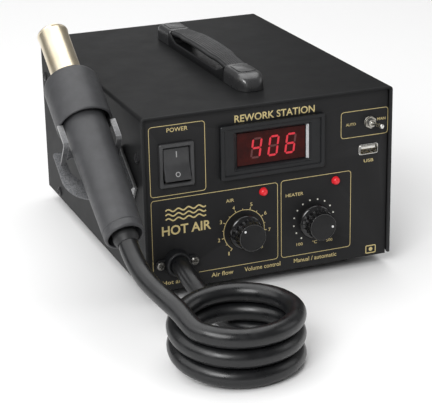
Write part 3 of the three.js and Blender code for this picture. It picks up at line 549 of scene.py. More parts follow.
# ---- Air hose ----
HOSE_DIAMETER = 13.0
COIL = {"x": -70.0, "y": -227.0, "radius": 35.5, "stretch": 1.08, "pitch": 13.2, "floor": 6.7}
HOSE_FROM_GLAND = [
    (-70.4, -125, 28.6), (-70.4, -133, 28.6), (-69.6, -142, 25.6), (-66.9, -153, 19.4),
    (-63.4, -164, 13.6), (-60, -175, 9.6), (-57.6, -183.2, 7.6), (-53, -192.5, 6.8),
]
HOSE_TO_HANDPIECE = [
    (-107.4, -230, 42.2), (-110.9, -220.5, 45.6), (-113.2, -213.5, 47.8), (-116, -203, 50.4),
    (-118.6, -191, 54.4), (-119.7, -180, 59.6), (-120, -172, 64.2), (-120, -164.6, 69.0),
]


def coil_points():
    """Stacked turns, clockwise from above: level at the right and front, and rising at the left."""
    first, last, level, climb = 38, -874, -90, 195
    made = []
    for k in range((first - last) // 12 + 1):
        angle = first - 12 * k
        since = max(0, level - angle)
        share = min(1, (since % 360) / climb)
        turns = since // 360 + share * share * (3 - 2 * share)
        reach = COIL["radius"] * MM
        a = radians(angle)
        z = COIL["floor"] + COIL["pitch"] * turns
        across, back = COIL["stretch"] * reach * cos(a), reach * sin(a)
        made.append(at(COIL["x"], COIL["y"], z) + Vector((across, back, 0)))
    return made


def smooth_path(points, spacing):
    """A Catmull-Rom curve through the points, in even steps."""
    dense = []
    for i in range(len(points) - 1):
        p0, p1 = points[max(i - 1, 0)], points[i]
        p2, p3 = points[i + 1], points[min(i + 2, len(points) - 1)]
        for k in range(12):
            t = k / 12
            dense.append(
                0.5 * (2 * p1 + (p2 - p0) * t + (2 * p0 - 5 * p1 + 4 * p2 - p3) * t**2
                       + (3 * p1 - 3 * p2 + p3 - p0) * t**3)
            )
    dense.append(points[-1])
    for _ in range(40):
        inner = [(a + b * 2 + c) / 4 for a, b, c in zip(dense, dense[1:], dense[2:])]
        dense = [dense[0], *inner, dense[-1]]
    lengths = list(accumulate(((b - a).length for a, b in pairwise(dense)), initial=0.0))
    count = round(lengths[-1] / spacing)
    made, j = [], 0
    for k in range(count + 1):
        want = lengths[-1] * k / count
        while j < len(lengths) - 2 and lengths[j + 1] < want:
            j += 1
        t = (want - lengths[j]) / (lengths[j + 1] - lengths[j])
        made.append(dense[j].lerp(dense[j + 1], t))
    return made, lengths[-1]


def tube(path, radius, sides=24):
    """A round tube along a path in metres, its rings kept from twisting."""
    rings = []
    side = Vector((1, 0, 0))
    for i, p in enumerate(path):
        along = (path[min(i + 1, len(path) - 1)] - path[max(i - 1, 0)]).normalized()
        side = (side - along * side.dot(along)).normalized()
        other = along.cross(side)
        rings.append([p + side * c.x + other * c.y for c in circle(radius, sides)])
    return skin(rings)


def hose():
    first = [at(*p) for p in HOSE_FROM_GLAND]
    last = [at(*p) for p in HOSE_TO_HANDPIECE]
    path, length = smooth_path(first + coil_points() + last, 2.5 * MM)
    nodes = ("hose_from_gland", "hose_coil", "hose_to_handpiece")
    body = tube(path, HOSE_DIAMETER / 2 * MM)
    made = piece("air_hose", body, "hose_silicone", "hose_silicone", *nodes, body=None, sharp=60)
    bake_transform(made)


# ---- CAD nodes that are shown as they are ----
def keep(node, look, edge=0.0):
    """A CAD node with a finished material and, where it is seen, eased edges."""
    made = frame["nodes"][node]
    if not made.material_slots:
        made.data.materials.append(None)
    for holder in made.material_slots:
        holder.material = Look.made[look]
    if edge:
        made.modifiers.new("weld", "WELD").merge_threshold = 0.01 * MM
        bevel = made.modifiers.new("bevel", "BEVEL")
        bevel.width = edge * MM
        bevel.segments = 2
        bevel.angle_limit = radians(40)


def kept_nodes():
    for node in ("front_panel", "rear_panel", "base_tray"):
        keep(node, "panel_coat", 0.25)
    keep("display_window", "red_filter", 0.25)
    inside = {
        "solder_resist": "main_board power_board",
        "switch_plastic": "toggle_body pump_lid",
        "plated_can": "pot_air pot_heater",
        "nickel": "pot_shaft_air pot_shaft_heater",
        "cast_metal": "pump_body",
        "foot_rubber": "pump_mount_left pump_mount_right",
        "tube_silicone": "air_tube",
        "laminations": "transformer_core",
        "winding_tape": "transformer_winding",
        "extruded_aluminium": "heat_sink",
    }
    for look, nodes in inside.items():
        for node in nodes.split():
            keep(node, look)


# ---- Case ----
def cover_section(inset, thick):
    """The cover's section across the case, as (x, z): one sheet bent down at both sides."""
    low, top = COVER_LOW.z / MM, COVER_HIGH.z / MM - inset
    half, bend, inner_bend = HALF_WIDTH - inset, 2.6, 1.5
    inner_half, inner_top = HALF_WIDTH - thick + inset, COVER_HIGH.z / MM - thick + inset
    return [
        Vector((half, low)),
        *arc((half - bend, top - bend), bend, 0, 90, 6),
        *arc((bend - half, top - bend), bend, 90, 180, 6),
        Vector((-half, low)),
        Vector((-inner_half, low)),
        *arc((inner_bend - inner_half, inner_top - inner_bend), inner_bend, 180, 90, 4),
        *arc((inner_half - inner_bend, inner_top - inner_bend), inner_bend, 90, 0, 4),
        Vector((inner_half, low)),
    ]


def cover():
    sheet, hem, hem_depth, edge = 1.2, 2.0, 2.4, 0.4
    front = [(0, edge, hem), (edge, 0, hem), (hem_depth, 0, hem), (hem_depth + 0.1, 0, sheet)]
    rings = []
    for depth, inset, thick in front:
        rings.append(in_panel(cover_section(inset, thick), depth - HALF_DEPTH))
    for depth, inset, thick in reversed(front):
        rings.append(in_panel(cover_section(inset, thick), HALF_DEPTH - depth))
    piece("cover_shell", placed(skin(rings), CASE), "case_coat", "case_paint", "cover")


def feet():
    profile = [
        (0, 0), (5.3, 0), (6.1, 0.4), (6.5, 1.4), (6.7, 3.2), (6.3, 3.5), (6.3, 4.1), (6.8, 4.4),
        (7.2, 7.9), (2.2, 7.9), (2.2, 10.8), (1.4, 13.2), (0, 13.4),
    ]
    for end in ("front", "rear"):
        for side in ("left", "right"):
            node = f"foot_{end}_{side}"
            where = Vector((centre(node).x, centre(node).y, 0))
            solid = placed(turned(profile, 40, soft=0.25), where)
            piece(f"rubber_{node}", solid, "foot_rubber", "foot_rubber", node)


def cross_screw(radius, height, length, shank):
    """A domed screw that stands up from z = 0 along +Z, with a cross recess in its head."""
    sides, steps = 48, 12
    arm, reach = radius * 0.16, radius * 0.6

    def dome(x, y):
        out = hypot(x, y) / radius
        inside = min((arm * 1.5 - min(abs(x), abs(y))) / arm, (reach - max(abs(x), abs(y))) / arm)
        return height * (1 - 0.62 * out**2.4) - height * 0.62 * max(0, min(1, inside))

    rings = [[(0, 0, dome(0, 0))]]
    for k in range(1, steps + 1):
        rings.append([(p.x, p.y, dome(p.x, p.y)) for p in circle(radius * k / steps, sides)])
    rings += [circle(radius, sides), circle(shank, sides), circle(shank, sides, -length), [(0, 0, -length)]]
    return skin(rings)


# Radius and height of a screw's head, and length and radius of its shank.
COVER_SCREW = (3.6, 2.1, 6.5, 1.7)
GLAND_SCREW = (2.9, 1.9, 8, 1.5)
HOLDER_SCREW = (3.8, 2.1, 9, 1.9)


def screws():
    for side, turn, face in (("left", TO_LEFT, COVER_LOW.x), ("right", TO_RIGHT, COVER_HIGH.x)):
        for place in ("front", "rear", "low"):
            node = f"cover_screw_{side}_{place}"
            solid = placed(cross_screw(*COVER_SCREW), Vector((face, *centre(node).yz)), turn)
            piece(f"side_screw_{side}_{place}", solid, "black_screw", "screw_black", node)
    for node in ("gland_screw_left", "gland_screw_right"):
        where = on_face(node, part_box(node)[0].y + GLAND_SCREW[1] * MM)
        solid = placed(cross_screw(*GLAND_SCREW), where, TO_FRONT)
        piece(f"fixing_{node}", solid, "dark_zinc", "plating", node)
    for node in ("holder_screw_lower", "holder_screw_upper"):
        where = Vector((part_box(node)[0].x + HOLDER_SCREW[1] * MM, *centre(node).yz))
        solid = placed(cross_screw(*HOLDER_SCREW), where, TO_LEFT)
        piece(f"fixing_{node}", solid, "nickel", "plating", node)


# ---- Carry handle: y from the middle of the handle, z from the cover ----
HANDLE_HALF, CAP_INNER, HANDLE_WIDTH, CAP_HEIGHT, SLOT_FLOOR = 89.5, 57.0, 20.5, 12.0, 4.5
HANDLE_BASE = Vector((CASE.x, centre("handle_base").y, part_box("handle_base")[0].z))
RAIL_END = CAP_INNER - 0.4
SHOULDER = 15.0


def arch_ring(half, height, power, y, low=0.0, count=40):
    """A boxy arch across the handle, flat underneath."""
    ring = []
    for k in range(count + 1):
        a = pi * k / count
        x = half * copysign(abs(cos(a)) ** (2 / power), cos(a))
        ring.append((x, y, low + height * sin(a) ** (2 / power)))
    return ring


def handle_caps():
    inner, half, height = CAP_INNER, HANDLE_WIDTH / 2, CAP_HEIGHT
    rings = [
        arch_ring(7.6, 6.6, 9, inner + 15, SLOT_FLOOR),
        arch_ring(7.6, 6.6, 9, inner, SLOT_FLOOR),
        arch_ring(half - 0.5, height - 0.5, 5, inner, 0.1),
        arch_ring(half, height, 5, inner + 0.5),
    ]
    # Length of the rounded end, and how square it is from above and from the side.
    nose, plan, side = 14.0, 2.7, 2.5
    for k in range(1, 21):
        s = min(0.998, sin(k / 20 * pi / 2))
        w, h = half * (1 - s**plan) ** (1 / plan), height * (1 - s**side) ** (1 / side)
        rings.append(arch_ring(w, max(h, 0.8), 5, HANDLE_HALF - nose + nose * s))
    panel = soften([(-6.6, inner + 3), (6.6, inner + 3), (6.6, inner + 22), (-6.6, inner + 22)], 3.2, True)
    middle = Vector((0, inner + 12.5))
    raised = []
    for scale, z in ((1.0, height - 0.6), (1.0, height + 0.2), (0.95, height + 0.4)):
        raised.append(flat([middle + (p - middle) * scale for p in panel], z))
    cap = together(skin(rings), skin(raised))
    for name, turn in (("rear", UPRIGHT), ("front", HALF_TURN)):
        node = f"handle_cap_{name}"
        solid = placed(cap, HANDLE_BASE, turn)
        piece(f"moulded_{node}", solid, "handle_plastic", "handle_plastic", node)


def strap_ring(y, half, low, high, rib):
    """The strap's section: fine ribs along its top, rounded sides and a flat underside."""
    ribs, steps = 9, 6
    ring = []
    for k in range(ribs * steps + 1):
        t = 2 * k / (ribs * steps) - 1
        round_off = (high - low) * 0.42 * abs(t) ** 9
        groove = rib * (0.5 - 0.5 * cos(pi * ribs * (t + 1)))
        ring.append((half * t, y, high - round_off - groove))
    for t in (1, 0.97, 0.9, 0, -0.9, -0.97, -1):
        ring.append((half * t, y, low + (high - low) * 0.3 * abs(t) ** 14))
    return ring


def handle_strap():
    grip, low, thick, rise, rib = CAP_INNER - 0.6, 7.4, 4.4, 3.0, 0.5
    wide, neck = 9.9, 8.1  # half widths, in the middle and between the rail's shoulders
    tongue = (7.2, 5.1, 7.7, 0)
    root = (neck - 0.6, low + 0.4, low + thick - 0.4, 0)
    tongue_ends = [CAP_INNER + 14, grip + 0.01]
    rings = [strap_ring(-y, *tongue) for y in tongue_ends] + [strap_ring(-grip, *root)]
    count = 48
    for k in range(count + 1):
        y = (grip - 0.5) * (2 * k / count - 1)
        up = rise * (1 - (y / grip) ** 2)
        t = min(1, max(0, (abs(y) - 24) / 16))
        half = wide + (neck - wide) * t * t * (3 - 2 * t)
        rings.append(strap_ring(y, half, low + up, low + up + thick, rib))
    rings.append(strap_ring(grip, *root))
    rings += [strap_ring(y, *tongue) for y in reversed(tongue_ends)]
    solid = placed(skin(rings), HANDLE_BASE)
    piece("ribbed_strap", solid, "strap_vinyl", "strap_vinyl", "handle_strap", body="carry_strap", sharp=50)


def handle_rail():
    """A floor and two rounded side walls, which rise to the caps in slanted shoulders."""
    low, high, inside = 5.2, 10.6, 8.65
    outside = HANDLE_WIDTH / 2
    stations = [RAIL_END - SHOULDER * k / 10 for k in range(12)]
    rings = []
    for y in [-y for y in stations] + stations[::-1]:
        t = min(1, max(0, (abs(y) - RAIL_END + SHOULDER) / SHOULDER))
        h = low + (high - low) * t**1.2
        section = [
            (outside - 0.3, 0), (outside, 1.4), (outside, h - 1.5), (outside - 0.2, h - 0.6),
            (outside - 0.8, h), (inside + 0.3, h - 0.1), (inside, h - 0.6), (inside, 0),
        ]
        rings.append([(x, y, z) for x, z in section])
    wall = skin(rings)
    floor = box((1 - outside, -RAIL_END, 0), (outside - 1, RAIL_END, 1.1), 0.1)
    rail = together(wall, shifted(wall, (0, 0, 0), HALF_TURN), floor)
    solid = placed(rail, HANDLE_BASE)
    # Darker than the caps, though it is the same plastic: painted shade on the rail's sides.
    piece("handle_rail", solid, "rail_plastic_painted_shade", "handle_plastic", "handle_base")


# ---- Front panel ----
ROCKER_REST, TOGGLE_REST = -10, 15  # degrees from the middle of their travel


def joint(name, key):
    return Vector(next(j[key] for j in frame["joints"] if j["name"] == name))


def power_switch():
    where = on_face("rocker_frame")
    levels = [
        (12.5, 15.5, 1.4, -0.3, -1.9), (12.1, 15.1, 1.2, -2.3), (10.4, 13.3, 0.9, -2.3),
        (9.9, 12.7, 0.7, -1.9), (9.7, 12.5, 0.6, -1.2, 12), (10.8, 13.7, 0.6, 12, -0.3),
    ]
    well = rect_stack([(10.7, 13.6, 0.6, 12, 19.7)], wrap=False)
    blades = [box((-3, 18.7, dz - 0.4), (3, 26.7, dz + 0.4), 0.1) for dz in (-8, 0, 8)]
    frame_solid = together(rect_stack(levels), well, *blades)
    piece("switch_frame", placed(frame_solid, where), "switch_plastic", "black_plastic", "rocker_frame")

    face = [(-4.2, -11.4), (-3.35, -4.5), (-3.0, -1.6), (-2.9, 0), (-3.0, 1.6), (-3.35, 4.5), (-4.2, 11.4)]
    outline = soften(face + [(2, 10), (6, 3), (6, -3), (2, -10)], 0.7, True, 3)
    rings = []
    for x, inset in ((-9.3, 0.6), (-9.1, 0.25), (-8.7, 0), (8.7, 0), (9.1, 0.25), (9.3, 0.6)):
        rings.append([(x, p.x * (1 - inset / 4.5), p.y * (1 - inset / 11)) for p in outline])
    pivot = joint("rocker_tilt", "pos_m")
    turn = rotation(ROCKER_REST, "X")
    key = placed(skin(rings), pivot, turn)
    piece("rocker_key", key, "switch_plastic", "black_plastic", "rocker", body="rocker")

    out, up = 3.66, 6.9  # the marks' places on the rocker, which slopes away from its middle
    slope = degrees(atan2(0.85, up))
    bar = box((-0.35, -0.12, -2.1), (0.35, 0.05, 2.1), 0.05)
    bar = shifted(bar, (0, -out, up), rotation(slope, "X"))
    sides = ((1.75, 0), (1.75, -0.12), (1.2, -0.12), (1.2, 0))
    ring = skin([in_panel(circle(radius, 28), y) for radius, y in sides], wrap=True)
    ring = shifted(ring, (0, -out, -up), rotation(-slope, "X"))
    marks = placed(together(bar, ring), pivot, turn)
    piece("rocker_marks", marks, "grey_mark", "black_plastic", body="rocker")


def display():
    where = on_face("display_bezel")
    levels = [
        (39, 19.5, 1.4, -0.3, -3.3), (38.6, 19.1, 1.2, -3.7), (36.5, 17.0, 0.9, -3.7),
        (36.1, 16.6, 0.7, -3.3), (35.9, 16.4, 0.6, -2.5), (29.2, 14.1, 0.7, -2.5),
        (28.8, 13.7, 0.5, -2.2), (25.9, 12.05, 0.4, 0.4), (25.8, 11.95, 0.4, 2.5), (36, 16.7, 0.5, 2.5, -0.3),
    ]
    bezel = placed(rect_stack(levels), where)
    piece("bezel_frame", bezel, "bezel_plastic", "black_plastic", "display_bezel")
    # The clear window's polished edge shows along the right of the opening.
    # A light grey strip along the right of the opening: a painted highlight where the recess's right wall
    # catches the light.
    section = [(27.6, -1.3), (26.1, 0.15), (26.1, 0.6), (27.8, -1.0)]
    piece("painted_window_highlight", placed(drawn_out(section, -12.2, 12.6), where), "painted_window_highlight", "black_plastic")


SEGMENTS = {  # each bar's two ends, in half widths and half heights of a digit
    "a": ((-1, 1), (1, 1)), "b": ((1, 1), (1, 0)), "c": ((1, 0), (1, -1)), "d": ((-1, -1), (1, -1)),
    "e": ((-1, 0), (-1, -1)), "f": ((-1, 1), (-1, 0)), "g": ((-1, 0), (1, 0)),
}
FIGURES = {"4": "fgbc", "0": "abcdef", "6": "afgedc"}


def segment(name, middle):
    """One bar with pointed ends, leaning as the figures do."""
    half_width, half_height, thick, gap, lean = 3.1, 6.7, 1.45, 0.28, tan(radians(8))
    a, b = (Vector((u * half_width, v * half_height)) for u, v in SEGMENTS[name])
    along = (b - a).normalized()
    side = Vector((-along.y, along.x)) * thick / 2
    a, b = a + along * gap, b - along * gap
    tip = along * thick / 2
    outline = [a, a + tip + side, b - tip + side, b, b - tip - side, a + tip - side]
    leant = [Vector((middle + p.x + p.y * lean, p.y)) for p in outline]
    return skin([in_panel(leant, 0), in_panel(leant, -0.08)])


def figures(text="406", pitch=12.8, offset=1.6):
    """Three seven-segment figures, drawn as thin glowing bars just in front of the filter's face."""
    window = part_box("display_window")
    where = Vector((centre("display_window").x, window[0].y, centre("display_window").z))
    lit, unlit = [], []
    for k, character in enumerate(text):
        middle = offset + pitch * (k - 1)
        for name in SEGMENTS:
            (lit if name in FIGURES[character] else unlit).append(segment(name, middle))
    piece("lit_figures", placed(together(*lit), where), "lit_segment", "red_filter")
    # The unlit bars glow faintly: a painted glow in place of the light they would reflect.
    piece("unlit_segments", placed(together(*unlit), where), "unlit_segment", "red_filter")


def toggle():
    where = on_face("toggle_nut")
    corners = arc((0, 0), 4.55, 30, 330, 5)
    rings = []
    for scale, height in ((0.97, 0.6), (1.0, 0.8), (1.0, 2.3), (0.95, 2.55)):
        rings.append(flat(soften([p * scale for p in corners], 0.25, True, 3), height))
    washer = turned([(0, 0.3), (4.1, 0.3), (4.25, 0.45), (4.1, 0.6), (0, 0.6)], 40)
    thread = [(0, 0.3), (2.8, 0.3)]
    for k in range(7):
        thread += [(3.0, 2.3 + 0.35 * k), (2.72, 2.47 + 0.35 * k)]
    thread += [(2.6, 4.75), (1.9, 4.8), (1.9, 4.2), (0, 4.2)]
    solid = together(skin(rings), washer, turned(thread, 40))
    piece("toggle_nut_and_bush", placed(solid, where, TO_FRONT), "worn_nickel", "plating", "toggle_nut")

    profile = [
        (0, -4), (0.9, -4), (0.9, -1.4), (1.6, -0.7), (1.6, 0.6), (1.15, 1.4), (1.2, 3), (1.5, 8.5),
        (1.72, 10.2), (1.55, 11.2), (0.9, 11.5), (0, 11.5),
    ]
    turn = rotation(TOGGLE_REST, "Z") @ TO_FRONT
    lever = placed(turned(profile, 32, soft=0.35), joint("toggle_throw", "pos_m"), turn)
    piece("toggle_bat", lever, "nickel", "plating", "toggle_lever", body="toggle_lever")


def usb_socket():
    where = on_face("usb_socket")
    shell = rect_stack([
        (7.15, 3.45, 1.4, 10, -0.9), (6.98, 3.28, 1.3, -1.2), (6.8, 3.1, 1.2, -1.2),
        (6.65, 2.95, 1.1, -0.9, 10),
    ])
    flange = rect_stack([(7.5, 3.8, 1.5, 0, -0.25), (7.1, 3.4, 1.2, -0.3, 0)])
    piece("usb_shell", placed(together(shell, flange), where), "nickel", "plating", "usb_socket")
    tongue = box((-5.6, 0.2, 0.25), (5.6, 9.8, 2.1), 0.15)
    back = box((-6.6, 9, -2.9), (6.6, 9.9, 2.9), 0.1)
    piece("usb_tongue", placed(together(tongue, back), where), "white_plastic", "plating")
    contacts = [box((x - 0.5, 0.6, 0.05), (x + 0.5, 9, 0.3), 0.04) for x in (-3.5, -1.1, 1.1, 3.5)]
    piece("usb_contacts", placed(together(*contacts), where), "gold_contact", "plating")


def lamps():
    profile = [(0, -2.6), (3.7, -2.6), (3.7, -1.5), (2.8, -1.5), (2.8, 0.9)]
    profile += [(2.8 * cos(radians(a)), 0.9 + 2.5 * sin(radians(a))) for a in range(12, 90, 12)]
    profile.append((0, 3.4))
    for name in ("air", "heater"):
        solid = placed(turned(profile, 36), on_face(f"led_{name}"), TO_FRONT)
        piece(f"lamp_{name}", solid, "lamp_red", "red_lamp", f"led_{name}")


def fluted(radius, height, depth, flutes=20, steps=8):
    ring = []
    for k in range(flutes * steps):
        a = 2 * pi * k / (flutes * steps)
        r = radius - depth * abs(sin(flutes * a / 2)) ** 0.8
        ring.append((r * cos(a), r * sin(a), height))
    return ring


def dials():
    levels = [
        (7.6, 5, 0), (7.6, 0, 0), (12.3, 0, 0), (12.6, 0.3, 0), (12.55, 0.9, 0), (12.2, 1.7, 0),
        (11.6, 2.3, 0), (10.9, 2.6, 0.2), (10.3, 3.1, 1.0), (10.4, 11.9, 1.1), (10.35, 12.4, 0.9),
        (10.1, 12.8, 0.4), (9.75, 12.95, 0), (9.4, 12.9, 0), (9.25, 12.6, 0), (1.5, 12.6, 0),
    ]
    knob = skin([fluted(*level) for level in levels])
    face = turned([(0, 12.4), (9.1, 12.4), (9.1, 12.75), (8.9, 12.85), (0, 12.85)], 64)
    dot = turned([(0, 12.5), (0.85, 12.5), (0.85, 12.85), (0.7, 12.95), (0, 12.95)], 24)
    for name, pointer in (("air", 137), ("heater", -5)):
        node = f"knob_{name}"
        where = on_face(node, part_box(node)[1].y)
        spot = shifted(dot, Vector((cos(radians(pointer)), sin(radians(pointer)), 0)) * 7.4)
        parts = [
            (f"fluted_{node}", knob, "knob_plastic", node),
            (f"dial_face_{name}", face, "dial_face"),
            (f"pointer_{name}", spot, "white_mark"),
        ]
        for part, solid, look, *replaced in parts:
            solid = placed(solid, where, TO_FRONT)
            piece(part, solid, look, "knob_plastic", *replaced, body=f"{name}_dial")


def gland():
    where = on_face("hose_gland")
    boss = turned([(6.6, 7), (8.0, 7), (8.8, 6), (9.8, 1.4), (9.8, 0.3), (8, 0.3), (8, -3.7), (5.4, -3.7),
                   (5.4, -15.7), (4, -15.7), (4, 4.6), (6.6, 4.6)], 56, closed=True, soft=0.5)
    ears = skin([flat(rounded_rect(w, h, h - 0.1, 8), z)
                 for w, h, z in ((15.9, 3.7, 0.3), (15.9, 3.7, 2.3), (15.5, 3.3, 2.7))])
    solid = placed(together(boss, ears), where, TO_FRONT)
    piece("gland_boss", solid, "bezel_plastic", "black_plastic", "hose_gland")


# ---- Print on the panel: x and z in millimetres from the middle of the case and the floor ----
LINE = 0.4
SWITCH_BOX = (-87.5, -47.5, 78, 127.5)
TOGGLE_BOX = (54.7, 91.3, 100.3, 119.4)
AIR_BOX = (-87.5, 5.9, 18.2, 75.4)
HEATER_BOX = (8.6, 62.7, 18.2, 75.9)
WORDS = [  # text, x, z, height, width, weight
    ("REWORK STATION", 4.3, 125.5, 5.2, 60, 0.16),
    ("POWER", -67.2, 124.1, 2.9, 15, 0.06),
    ("AUTO", 62.3, 110.0, 2.0, 7.6, 0.02),
    ("MAN", 86.2, 111.4, 2.0, 6.4, 0.02),
    ("USB", 76.6, 81.6, 2.3, 7.5, 0.06),
    ("AIR", -29.9, 67.4, 2.4, 6.0, 0.06),
    ("HEATER", 18.9, 64.4, 2.3, 13.5, 0.06),
    ("100", 22.8, 26.3, 2.2, 4.8, 0.04),
    ("°C", 34.6, 26.2, 2.4, 3.6, 0.04),
    ("500", 46.1, 25.9, 2.2, 4.8, 0.04),
    ("HOT AIR", -62.3, 52.4, 7.0, 36, 0.2),
    ("Hot air", -73.5, 14.2, 2.9, 15, 0.06),
    ("Air flow", -36.5, 14.2, 3.2, 16.5, 0.06),
    ("Volume control", -6.0, 14.2, 3.2, 27.5, 0.06),
    ("Manual / automatic", 35.0, 14.2, 3.2, 33.5, 0.06),
]


def box_outline(x0, x1, z0, z1):
    middle = Vector(((x0 + x1) / 2, (z0 + z1) / 2))
    return [middle + p for p in rounded_rect((x1 - x0) / 2, (z1 - z0) / 2, 2.2)]


def air_box():
    """The air controls' outline, which stops where the hose gland stands."""
    outline = box_outline(*AIR_BOX)
    quarter = len(outline) // 4
    start, end = (-54.0, AIR_BOX[2]), (AIR_BOX[0], 19.0)
    return ribbon([start, *outline[-quarter:], *outline[:2 * quarter], end], LINE)


def middle_on_panel(node):
    middle = centre(node)
    return (middle.x - CASE.x) / MM, middle.z / MM


def air_scale():
    """An arc with ticks at its figures and short ones half way. The last figure stands past its end."""
    middle = Vector(middle_on_panel("knob_air"))
    radius, numbers, first, step = 15.3, 8, 233, 40
    solids = [ribbon(arc(middle, radius, first, first - step * (numbers - 2), 48), 0.44)]

    def outwards(k):
        angle = radians(first - step * k)
        return Vector((cos(angle), sin(angle)))

    for k in range(numbers):
        spot = middle + outwards(k) * (radius + 4.1)
        width = 0.9 if k == 0 else 1.7
        solids.append(lettering(str(k + 1), spot.x, spot.y, 2.7, width, bold=0.02))
    for k in range(2 * (numbers - 2) + 1):
        out = outwards(k / 2)
        reach, width = (1.1, 0.5) if k % 2 else (1.9, 0.6)
        solids.append(ribbon([middle + out * radius, middle + out * (radius + reach)], width))
    return solids


def heater_scale():
    x, z = middle_on_panel("knob_heater")
    return [disc(p.x, p.y, 0.62) for p in arc((x, z), 15.6, 232, -52, 13)]


def air_sign(x=-62.3, z=63.6):
    """Three waves, one above the other: a plain sign for hot air."""
    wave = [(x - 15 + 0.5 * k, z + 0.9 * sin(k * 0.42)) for k in range(60)]
    return [ribbon([(a, b + row) for a, b in wave], 1.0) for row in (-3.3, 0, 3.3)]


def panel_print():
    solids = [ribbon(box_outline(*b), LINE, closed=True) for b in (SWITCH_BOX, TOGGLE_BOX, HEATER_BOX)]
    solids.append(air_box())
    solids += [lettering(text, x, z, h, w, bold=weight) for text, x, z, h, w, weight in WORDS]
    solids += air_scale() + air_sign()
    mark = Vector((79.4, 13.2))
    outline = [mark + p for p in rounded_rect(3.8, 2.8, 0.6)]
    solids += [ribbon(outline, 0.7, closed=True), disc(mark.x, mark.y, 1.5)]
    where = Vector((CASE.x, PANEL_Y, 0))
    piece("panel_print", placed(together(*solids), where), "gold_print", "panel_paint")
    piece("heater_dots", placed(together(*heater_scale()), where), "pale_print", "panel_paint")


# ---- Holder and handpiece, about the handpiece's own axis ----
LIFT = joint("handpiece_lift", "axis")
AXIS_TURN = Matrix.Rotation(-atan2(LIFT.z, -LIFT.y), 3, "X")
ALONG = AXIS_TURN @ Vector((0, 0, 1))
SHELL_CORNERS = [(12.6, 0), (13.6, 1)]  # the handle's lower rim, as (radius, along the axis)


def axis_origin():
    """The middle of the handle's lower end."""
    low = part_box("handle_shell")[0]
    back = min(s * ALONG.y - r * ALONG.z for r, s in SHELL_CORNERS)
    down = min(s * ALONG.z - r * ALONG.y for r, s in SHELL_CORNERS)
    return Vector((centre("handle_shell").x, low.y - back * MM, low.z - down * MM))


AXIS = axis_origin()


def bent_strip(path, half_width, thick, x):
    """A strip bent along a path of (under, along) beside the handpiece's axis."""
    rings = []
    points = [Vector(p) for p in path]
    for i, p in enumerate(points):
        along = (points[min(i + 1, len(points) - 1)] - points[max(i - 1, 0)]).normalized()
        side = Vector((-along.y, along.x)) * thick / 2
        face = [half_width, half_width - 0.3, 0.3 - half_width, -half_width]
        section = [(w, side) for w in face] + [(w, -side) for w in reversed(face)]
        rings.append([(x + w, p.x + o.x, p.y + o.y) for w, o in section])
    return skin(rings)


def holder():
    half, sheet, under, top, wall = 23.3, 1.5, 15.5, 87, (COVER_LOW.x - AXIS.x) / MM - 0.3
    bend = 3.0
    lobe = [(-half, 62)]
    for k in range(1, 15):
        t = k / 14
        u = 1 - t
        lobe.append((-half * u * u - (half - 3) * 2 * t * u, 62 * u * u + 44 * (1 - u * u)))
    outline = soften([*lobe, (wall - bend, 49.4), (wall - bend, top), (-half, top)], 1.8, True)
    hole = soften([(-15.8, 81), *arc((0, 73), 15.8, 180, 360, 28), (15.8, 81)], 2.5, True)
    plate = sheet_cut(outline, [hole], sheet)
    cradle = shifted(plate, (0, under + sheet / 2, 0), TO_FRONT)

    corner, swing = (wall - bend, under + bend), degrees(1.5) - 90
    section = [
        *arc(corner, bend, -90, swing, 15), (wall, under + 24), (wall - sheet, under + 24),
        *arc(corner, bend - sheet, swing, -90, 15),
    ]
    flange = drawn_out(section, 50, top)

    path = [
        (under + 0.9, 77.2), (6, 77.2), (-1.2, 77.2), (-2.7, 77.8), (-3.6, 79), (-3.75, 80.5), (-3.75, 94.2),
    ]
    arms = [bent_strip(path, 1.85, sheet, x) for x in (-18.55, 18.55)]
    solid = placed(together(cradle, flange, *arms), AXIS, AXIS_TURN)
    piece("sheet_holder", solid, "galvanised", "holder_steel", "holder", sharp=25)


GUARD_LOW, GUARD_HIGH, MOUTH = 94.5, 136.0, 180.0


def handpiece():
    shell = [
        (12.7, 0), (13.6, 1), (13.66, 5.2), (13.35, 5.5), (13.35, 6.1), (13.7, 6.4), (14.3, 46), (15, 92.5),
        (15, 110.5), (12.8, 110.5), (12.8, 92.5), (11.4, 8), (11.4, 0),
    ]
    guard = [
        (18.0, GUARD_LOW), (18.9, GUARD_LOW), (19.5, GUARD_LOW + 0.7), (19.5, GUARD_HIGH - 6.5),
        (18.9, GUARD_HIGH - 3.4), (17.3, GUARD_HIGH - 1.0), (14.8, GUARD_HIGH), (11.1, GUARD_HIGH),
        (11.1, GUARD_HIGH - 3), (15.3, GUARD_HIGH - 8), (15.3, GUARD_LOW + 11), (17.9, GUARD_LOW + 9),
    ]
    nozzle = [
        (10.8, 112.5), (10.8, 137.5), (11.0, 138.2), (10.8, 138.9), (10.8, MOUTH - 1.6),
        (11.15, MOUTH - 1.1), (11.2, MOUTH - 0.5), (10.9, MOUTH), (10.1, MOUTH), (9.9, MOUTH - 0.6),
        (9.9, 112.5),
    ]
    boot = [
        (0, -2.9), (6.55, -2.9), (6.55, -6), (6.9, -6), (7.4, -4.6), (7.7, -3.4), (8.4, -1.9), (8.4, 0.4),
        (7.9, 2), (8.3, 9), (11.1, 9.4), (11.1, 13.8), (0, 13.8),
    ]
    moulding = ("handpiece_plastic", "handpiece_plastic")
    pieces = [
        ("handle_barrel", turned(shell, 96, True, 0.6), *moulding, "handle_shell"),
        ("guard_sleeve", turned(guard, 96, True, 0.9), *moulding, "heat_guard"),
        ("air_nozzle", turned(nozzle, 96, True, 0.25), "heat_tinted_steel", "nozzle_steel", "nozzle_tube"),
        ("boot_sleeve", turned(boot, 64, soft=0.6), "boot_rubber", "foot_rubber", "hose_boot"),
    ]
    for name, solid, *rest in pieces:
        piece(name, placed(solid, AXIS, AXIS_TURN), *rest, body="handpiece")


